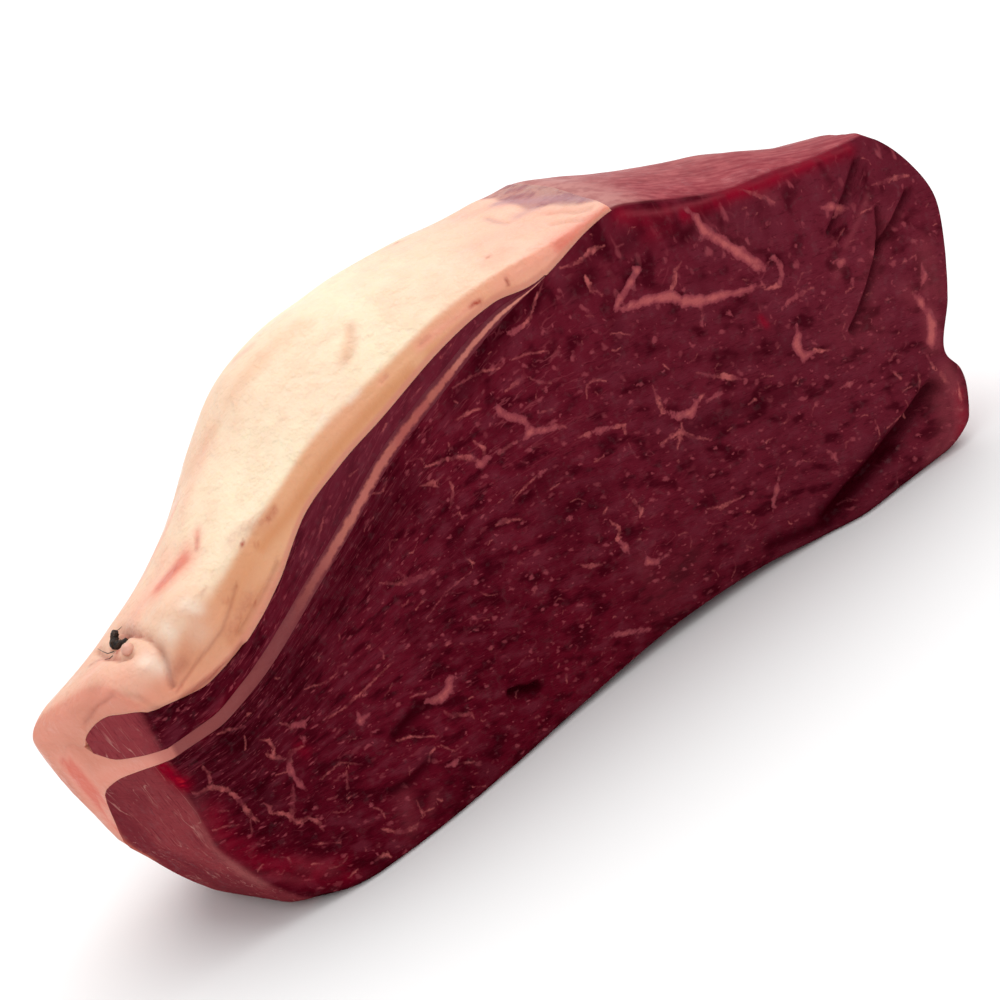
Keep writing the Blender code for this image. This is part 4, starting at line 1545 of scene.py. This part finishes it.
# %% Muscle material
def principled(name):
    """A new material and its Principled shader."""
    surface = bpy.data.materials.new(name)
    surface.use_nodes = True
    return surface, surface.node_tree, surface.node_tree.nodes["Principled BSDF"]


def fixed(step, values):
    """Set inputs that stay the same all over the surface."""
    for name, value in values.items():
        step.inputs[name].default_value = value


def bumped(tree, shader, height, values):
    """Let a height tilt the light on the surface."""
    bump = tree.nodes.new("ShaderNodeBump")
    fixed(bump, values)
    wire(tree, height, bump.inputs["Height"])
    wire(tree, bump.outputs["Normal"], shader.inputs["Normal"])


def cut_colour(tree, spot, across, grain, big, bundles):
    """Colour of the cut face under its veins."""
    x, y, z = split(tree, spot)
    colour = blend(tree, times(tree, big, 0.35), LEAN_MID, LEAN_DARK)
    colour = layered(
        tree, colour,
        (ease(tree, z, 60.0, 5.0, 0.0, 0.5), LEAN_LOW),
        (ease(tree, x, -30.0, 110.0, 0.0, 0.5), LEAN_PINK),
        (ease(tree, x, -60.0, -105.0, 0.0, 0.4), LEAN_DARK),
        (ease(tree, bundles, 0.50, 0.68, 0.0, 0.5), LEAN_PINK),
        (ease(tree, bundles, 0.50, 0.32, 0.0, 0.7), LEAN_DARK))
    strands = grain["Strands"]
    colour = layered(
        tree, colour,
        (ease(tree, strands, 0.55, 0.74, 0.0, 0.25), LEAN_PINK),
        (ease(tree, strands, 0.46, 0.28, 0.0, 0.35), LEAN_DARK))
    near_seam = times(tree, ease(tree, across, 50.0, 82.0, 0.1, 1.0),
                      ease(tree, x, 0.0, 50.0, 1.0, 0.1))
    for size, stretch, width, cover, share, where in ((4.2, 1.9, 0.026, 0.56, 0.30, 1.0),
                                                      (1.3, 5.0, 0.06, 0.48, 0.55, near_seam)):
        threads = use_group(tree, threads_group, Along=x, Across=across, Deep=y, Size=size,
                            Stretch=stretch, Width=width, Cover=cover)["Threads"]
        threads = times(tree, threads, where)
        colour = blend(tree, times(tree, threads, share), colour, VEIN_FAINT)
    for size, stretch, radius, cover, share in ((3.1, 1.5, 0.13, 0.30, 0.85),
                                                (1.5, 1.8, 0.14, 0.45, 0.55)):
        flecks = use_group(tree, flecks_group, Along=x, Across=across, Size=size, Stretch=stretch,
                           Radius=radius, Cover=cover)["Flecks"]
        colour = blend(tree, times(tree, flecks, share), colour, VEIN_FAINT)
    # Dark marks are partly darker meat and partly painted shade in the crevice, furrows and slit.
    # Pale marks are partly paler meat and partly painted highlights on lit ridges, the lobe and the top
    # edge.
    # The crease share is painted shade.
    colour = layered(
        tree, colour,
        (part_of(tree, "dark_and_shade", 0.95), LEAN_DARK),
        (part_of(tree, "pale_and_highlight", 0.8), VEIN_FAINT),
        (part_of(tree, "painted_crease_shade", 0.75), LEAN_DARK))
    redness = times(tree, marked(tree, "red"), ease(tree, bundles, 0.36, 0.6, 0.45, 1.0))
    colour = blend(tree, times(tree, redness, 0.85, clamp=True), colour, LEAN_RED)
    return blend(tree, ease(tree, redness, 0.95, 1.5, 0.0, 0.9), colour, BLOOD_RED)


def end_colour(tree, along, across, deep, big, grain):
    """Colour of the fat end, where fibres show as fine pale lines."""
    colour = blend(tree, times(tree, big, 0.6), END_TONE, END_DARK)
    colour = blend(tree, ease(tree, grain["Strands"], 0.46, 0.28, 0.0, 0.6), colour, END_DARK)
    for size, stretch, width, cover, share in ((3.4, 7.0, 0.018, 0.50, 0.85),
                                               (1.6, 9.0, 0.04, 0.52, 0.4)):
        threads = use_group(tree, threads_group, Along=along, Across=across, Deep=deep, Size=size,
                            Stretch=stretch, Width=width, Cover=cover)["Threads"]
        colour = blend(tree, times(tree, threads, share), colour, END_PALE)
    return colour


def muscle_finish(name, strand, pale_share):
    """The finish of cut beef muscle; pale_share lightens it along its middle."""
    surface, tree, shader = principled(name)
    spot = millimetres(tree)
    x, y, z = split(tree, spot)
    across = marked(tree, "grain_height")
    cut_grain = use_group(tree, grain_group, Along=x, Across=across, Deep=y, Strand=strand,
                          Stretch=7.0)
    bundle_at = joined(tree, times(tree, x, 0.13), times(tree, across, 0.24),
                       times(tree, y, 0.2))
    bundles = noise(tree, bundle_at, 2.0, 0.5)
    fanned = maths(tree, "MULTIPLY_ADD", z, -0.25, y)
    end_grain = use_group(tree, grain_group, Along=z, Across=fanned, Deep=x, Strand=strand * 1.5,
                          Stretch=14.0)
    end_cut = marked(tree, "end_cut")
    big = use_group(tree, patches_group, Place=spot, Size=24.0, Low=0.4, High=0.62)["Patches"]
    small = use_group(tree, patches_group, Place=spot, Size=5.0, Low=0.35, High=0.65)["Patches"]
    colour = cut_colour(tree, spot, across, cut_grain, big, bundles)
    colour = blend(tree, ease(tree, x, -88.0, -55.0, 0.0, pale_share), colour, LEAN_PINK)
    vein = use_group(tree, marbling_group, Way=marked(tree, "vein", True),
                     Reach=marked(tree, "vein_reach"), Edge=marked(tree, "vein_edge"), Place=spot,
                     Ragged=0.42, Soft=0.34)
    faded = ease(tree, small, 0.0, 1.0, 0.6, 1.0)
    core = times(tree, vein["Core"], ease(tree, small, 0.0, 1.0, 0.8, 1.0))
    wide_tint = blend(tree, core, VEIN_FAINT, VEIN)
    colour = blend(tree, times(tree, vein["Thin"], times(tree, faded, 0.85)), colour,
                   blend(tree, small, VEIN_FAINT, VEIN))
    colour = blend(tree, times(tree, vein["Wide"], 0.92), colour, wide_tint)
    raised = maths(tree, "MAXIMUM", vein["Thin"], vein["Wide"])
    height = maths(tree, "MULTIPLY_ADD", raised, 0.25, times(tree, cut_grain["Strands"], 0.5))
    height = maths(tree, "MULTIPLY_ADD", bundles, 2.0, height)

    at_end = end_colour(tree, z, fanned, x, big, end_grain)
    # The pale marks on the fat end include a painted highlight along its edge with the front cut.
    at_end = layered(
        tree, at_end,
        (part_of(tree, "pale_and_highlight", 0.8), END_PALE),
        (part_of(tree, "red", 0.8, clamp=True), LEAN_RED))
    colour = layered(
        tree, colour,
        (times(tree, end_cut, 0.95), at_end),
        (part_of(tree, "fatty", 0.95), FATTY))
    height = maths(tree, "MULTIPLY_ADD", times(tree, end_cut, end_grain["Strands"]), 1.2, height)

    slanted = maths(tree, "MULTIPLY_ADD", x, 0.35, y)
    streaks = use_group(tree, grain_group, Along=x, Across=slanted, Deep=z, Strand=1.9,
                        Stretch=9.0)["Strands"]
    skin_tone = blend(tree, ease(tree, streaks, 0.32, 0.70), MEMBRANE_DARK, MEMBRANE)
    # Greyer toward the back: partly the membrane's own grey, partly painted sheen where it turns away
    # behind.
    grey_sheen_to_back = times(tree, ease(tree, y, -39.0, 5.0), ease(tree, big, 0.0, 1.0, 0.6, 1.0))
    skin_tone = blend(tree, times(tree, grey_sheen_to_back, 0.7), skin_tone, MEMBRANE_GREY_AND_SHEEN)
    by_fat = times(tree, ease(tree, x, 46.0, 64.0, 1.0, 0.0),
                   ease(tree, small, 0.0, 1.0, 0.95, 0.7))
    skin_tone = blend(tree, by_fat, skin_tone, MEMBRANE_GREY_AND_SHEEN)
    skin = maths(tree, "MAXIMUM", marked(tree, "membrane"), part_of(tree, "bare_end", 0.5))
    skin = times(tree, skin, ease(tree, small, 0.0, 1.0, 0.98, 0.8))
    colour = blend(tree, skin, colour, skin_tone)
    wire(tree, colour, shader.inputs["Base Color"])

    wet = use_group(tree, wet_group, Place=spot, Size=2.2, Dry=0.6, Wet=0.3)
    wire(tree, wet["Roughness"], shader.inputs["Roughness"])
    glints = times(tree, maths(tree, "POWER", wet["Film"], 3.0), 0.14)
    wire(tree, maths(tree, "MULTIPLY_ADD", skin, 0.12, glints), shader.inputs["Coat Weight"])
    fixed(shader, {"Coat Roughness": 0.12, "Specular IOR Level": 0.0})
    height = times(tree, height, ease(tree, skin, 0.0, 1.0, 1.0, 0.3))
    bumped(tree, shader, height, {"Strength": 0.9, "Distance": 0.0006})
    return surface


lean.data.materials.append(muscle_finish("lean muscle", 0.42, 0.0))
strip.data.materials.append(muscle_finish("cap muscle", 0.5, 0.45))
print("muscle finishes:", lean.data.materials[0].name, "and", strip.data.materials[0].name)

# %% [markdown]
# ## The fat finish
#
# Beef fat is creamy where light falls on it, golden in its depth and pink where a little blood has
# soaked in. Light travels a short way into it, so its shadows are soft and warm. Subsurface
# scattering gives that. A few red specks and mauve shreds of membrane lie where they were traced.

# %% Colours of the fat
FAT_CREAM = paint(255, 231, 200)
FAT_CUT = paint(230, 164, 122)
FAT_PINK = paint(242, 162, 142)
FAT_ROSY = paint(216, 138, 116)
FAT_GOLD = paint(216, 144, 96)
FAT_ROSE = paint(216, 96, 78)
FAT_SKIN = paint(162, 98, 100)
FAT_MAUVE = paint(186, 136, 142)
FAT_BLOOD = paint(168, 48, 28)
# Painted shade for the fat's creases, a warm brown.
FAT_CREASE_SHADE = paint(150, 58, 42)
# Painted highlight for the glossy tops of the fat's lumps.
FAT_PAINTED_HIGHLIGHT = paint(255, 240, 222)
SEAM_TONE = paint(170, 82, 76)
SEAM_EDGE = paint(104, 26, 40)
SEAM_LOW = paint(120, 48, 52)
SEAM_END = paint(198, 118, 106)
print("fat cream in light values", np.round(FAT_CREAM, 3).tolist())

# %% Fat material
def fat_finish(name, cream, cut_tone, end_tone, scatter, low_share, rosy_share):
    """The finish of raw beef fat; low_share reddens its first part, rosy_share its fat end."""
    surface, tree, shader = principled(name)
    spot = millimetres(tree)
    x, y, _ = split(tree, spot)
    big = use_group(tree, patches_group, Place=spot, Size=30.0, Low=0.42, High=0.62)["Patches"]
    small = use_group(tree, patches_group, Place=spot, Size=6.0, Low=0.4, High=0.7)["Patches"]
    fine = use_group(tree, patches_group, Place=spot, Size=1.6, Low=0.3, High=0.75)["Patches"]
    colour = blend(tree, part_of(tree, "on_cut", 0.9), cream, cut_tone)
    colour = layered(
        tree, colour,
        (times(tree, big, 0.16), FAT_PINK),
        (times(tree, small, 0.10), FAT_GOLD),
        (part_of(tree, "rosy_far", 0.6), FAT_PINK),
        (part_of(tree, "gold", 0.75), FAT_GOLD))
    edge = maths(tree, "MULTIPLY_ADD", fine, 0.3, marked(tree, "off_middle"))
    in_front = ease(tree, y, -36.0, -10.0, 1.0, 0.0)
    edge_share = times(tree, ease(tree, edge, 0.42, 0.95), ease(tree, in_front, 0.0, 1.0, 0.2, 1.0))
    colour = blend(tree, edge_share, colour, SEAM_EDGE)
    low = times(tree, ease(tree, x, -84.0, -48.0, low_share, 0.0), in_front)
    colour = blend(tree, low, colour, SEAM_LOW)
    rosy = times(tree, marked(tree, "rosy_end"), ease(tree, in_front, 0.0, 1.0, 0.6, rosy_share))
    near_front = ease(tree, y, -39.0, -22.0, 1.0, 0.0)
    end_tone = blend(tree, near_front, FAT_ROSY, end_tone)
    colour = layered(
        tree, colour,
        (rosy, end_tone),
        (part_of(tree, "end_cut", 0.9), end_tone))
    pink = marked(tree, "pink")
    colour = layered(
        tree, colour,
        (times(tree, pink, 0.75, clamp=True), FAT_PINK),
        (ease(tree, pink, 0.6, 1.15, 0.0, 0.7), FAT_ROSE),
        (part_of(tree, "rim", 0.85), FAT_ROSY))
    shred = ease(tree, small, 0.0, 1.0, 0.7, 1.0)
    # The crease share is painted shade in the fat's creases, and the highlight share paints highlights
    # on its lumps.
    colour = layered(
        tree, colour,
        (times(tree, marked(tree, "skin"), shred), FAT_SKIN),
        (part_of(tree, "mauve", 0.8), FAT_MAUVE),
        (part_of(tree, "painted_crease_shade", 0.42), FAT_CREASE_SHADE),
        (part_of(tree, "painted_highlight", 0.6), FAT_PAINTED_HIGHLIGHT))
    blood = times(tree, marked(tree, "blood"), ease(tree, fine, 0.0, 1.0, 0.6, 1.1))
    colour = blend(tree, times(tree, blood, 0.85, clamp=True), colour, FAT_BLOOD)
    wire(tree, colour, shader.inputs["Base Color"])
    wet = use_group(tree, wet_group, Place=spot, Size=7.0, Dry=0.5, Wet=0.28)
    wire(tree, wet["Roughness"], shader.inputs["Roughness"])
    gloss = maths(tree, "MULTIPLY_ADD", marked(tree, "painted_highlight"), 0.5, times(tree, wet["Film"], 0.12))
    wire(tree, gloss, shader.inputs["Coat Weight"])
    fixed(shader, {"Coat Roughness": 0.15, "Specular IOR Level": 0.15, "Subsurface Weight": scatter,
                   "Subsurface Radius": (1.0, 0.5, 0.3), "Subsurface Scale": 0.003})
    height = maths(tree, "MULTIPLY_ADD", fine, 0.35, times(tree, small, 0.9))
    bumped(tree, shader, height, {"Strength": 0.5, "Distance": 0.0007})
    return surface


cap.data.materials.append(fat_finish("cap fat", FAT_CREAM, FAT_CUT, FAT_ROSY, 0.25, 0.0, 0.6))
seam.data.materials.append(fat_finish("seam fat", SEAM_TONE, SEAM_TONE, SEAM_END, 0.05, 0.95, 0.2))
print("fat finishes:", cap.data.materials[0].name, "and", seam.data.materials[0].name)

# %% [markdown]
# ## The cut vessel
#
# A short dark stub of blood vessel lies bent in its pocket, with a small pink nodule of fat beside
# it and three fine hairs of torn wall. A curve with a bevel is the quickest tube, but its end would be a
# flat cap. Rings of points around a path let the tube taper and wrinkle, and close each end in a point.

# %% Vessel tube
VESSEL_RADIUS = 1.25
VESSEL_SPAN = 6.2
VESSEL_BEND = 2.2
VESSEL_RISE = 1.2
VESSEL_RIPPLE = 0.10            # shares of the radius
VESSEL_ROUGH = 0.08
VESSEL_MOUTH = 0.35
RINGS = 40
AROUND = 20
vessel_chance = np.random.default_rng(5)


def tube(name, path, radii):
    """A skin of rings around a path, with its ends closed by a point."""
    ahead = np.gradient(path, axis=0)
    ahead /= np.linalg.norm(ahead, axis=1, keepdims=True)
    sideways = np.cross(ahead, (0.0, 0.0, 1.0))
    sideways /= np.linalg.norm(sideways, axis=1, keepdims=True)
    above = np.cross(sideways, ahead)
    turn_by = np.linspace(0, 2 * np.pi, AROUND, endpoint=False)
    rings = (path[:, None] + radii[..., None] * (np.cos(turn_by)[None, :, None] * sideways[:, None]
                                                 + np.sin(turn_by)[None, :, None] * above[:, None]))
    verts = np.concatenate([rings.reshape(-1, 3), path[:1], path[-1:]])
    faces = []
    count = len(path)
    for ring in range(count - 1):
        for a in range(AROUND):
            b = (a + 1) % AROUND
            this, next_one = ring * AROUND, (ring + 1) * AROUND
            faces.append((this + a, this + b, next_one + b, next_one + a))
    for a in range(AROUND):
        b = (a + 1) % AROUND
        faces.append((a, count * AROUND, b))
        faces.append(((count - 1) * AROUND + a, (count - 1) * AROUND + b, count * AROUND + 1))
    faces = [face[::-1] for face in faces]
    mesh = bpy.data.meshes.new(name)
    mesh.from_pydata(to_world(verts).tolist(), [], faces)
    mesh.shade_smooth()
    return put(name, mesh)


t = np.linspace(-1, 1, RINGS)
bow = VESSEL_BEND * (t * t - 0.5)
lift = VESSEL_RISE * (t * t + t / 2) - VESSEL_RISE / 2
vessel_path = pocket + np.stack([bow, t * VESSEL_SPAN / 2, lift], axis=-1)
roughness = VESSEL_ROUGH * vessel_chance.normal(size=(RINGS, AROUND))
wrinkle = 1 + VESSEL_RIPPLE * np.sin(9 * t)[:, None] + roughness
mouth = 1 - VESSEL_MOUTH * t * t
radii = VESSEL_RADIUS * mouth[:, None] * wrinkle
vessel = tube("cut_vessel", vessel_path, radii)
compare_box(vessel, "vessel")

# %% Nodule and torn hairs
NODULE_LONG = 3.8
NODULE_RADIUS = 1.6
NODULE_ROUGH = 0.05
HAIR_RADIUS = 0.13
HAIR_THINNING = 0.6
nodule_at = trace([(128, 650)])[0] + (0.0, 0.0, 0.15)
t = np.linspace(-0.98, 0.98, RINGS)
nodule_path = nodule_at + np.stack([0.2 * t, t * NODULE_LONG / 2, 0.1 * t], axis=-1)
roughness = 1 + NODULE_ROUGH * vessel_chance.normal(size=(RINGS, AROUND))
nodule_radii = NODULE_RADIUS * np.sqrt(1 - t * t)[:, None] * roughness
nodule = tube("nodule", nodule_path, nodule_radii)


def hair(name, pixels):
    """A thin torn thread of vessel wall, lying on the fat along a traced path."""
    knots = trace(pixels)
    steps = np.linspace(0, len(knots) - 1, RINGS)
    path = np.stack([np.interp(steps, range(len(knots)), knots[:, axis]) for axis in range(3)],
                    axis=-1)
    path[:, 2] += HAIR_RADIUS
    thinning = HAIR_RADIUS * (1 - HAIR_THINNING * np.linspace(0, 1, RINGS))
    return tube(name, path, np.repeat(thinning[:, None], AROUND, axis=1))


hairs = [hair("torn_hair_1", [(114, 652), (108, 654), (103, 652), (98, 649)]),
         hair("torn_hair_2", [(115, 632), (119, 630), (122, 627)]),
         hair("torn_hair_3", [(113, 656), (110, 659), (105, 660)])]
print("nodule at", np.round(nodule_at, 1), "and", len(hairs), "hairs")

# %% Finish of the vessel
VESSEL_DARK = paint(16, 8, 6)
VESSEL_BROWN = paint(62, 38, 22)
NODULE_TONE = paint(232, 176, 158)

vessel_skin, tree, shader = principled("vessel")
spot = millimetres(tree)
rough_spots = use_group(tree, patches_group, Place=spot, Size=1.0, Low=0.35, High=0.65)["Patches"]
vessel_tone = blend(tree, rough_spots, VESSEL_DARK, VESSEL_BROWN)
wire(tree, vessel_tone, shader.inputs["Base Color"])
wet = use_group(tree, wet_group, Place=spot, Size=1.2, Dry=0.5, Wet=0.2)
wire(tree, wet["Roughness"], shader.inputs["Roughness"])
fixed(shader, {"Coat Weight": 0.12, "Specular IOR Level": 0.2})
bumped(tree, shader, rough_spots, {"Distance": 0.0003})
for piece in (vessel, *hairs):
    piece.data.materials.append(vessel_skin)
nodule.data.materials.append(
    fat_finish("nodule fat", NODULE_TONE, FAT_PINK, FAT_PINK, 0.2, 0.0, 0.6))
print("vessel finish ready")

# %% [markdown]
# ## Hand-over
#
# Each piece rides on the joint's one body and stands for its own solid.

# %% Ride and replace
for piece, node, slot in ((lean, "lean", "lean"), (seam, "fat_seam", "seam_fat"),
                          (strip, "cap_muscle", "cap_lean"), (cap, "fat_cap", "outer_fat"),
                          (vessel, "vessel", "vessel")):
    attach(piece, "root")
    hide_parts(node)

for piece, slot in ((nodule, "outer_fat"), *((one, "vessel") for one in hairs)):
    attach(piece, "root")
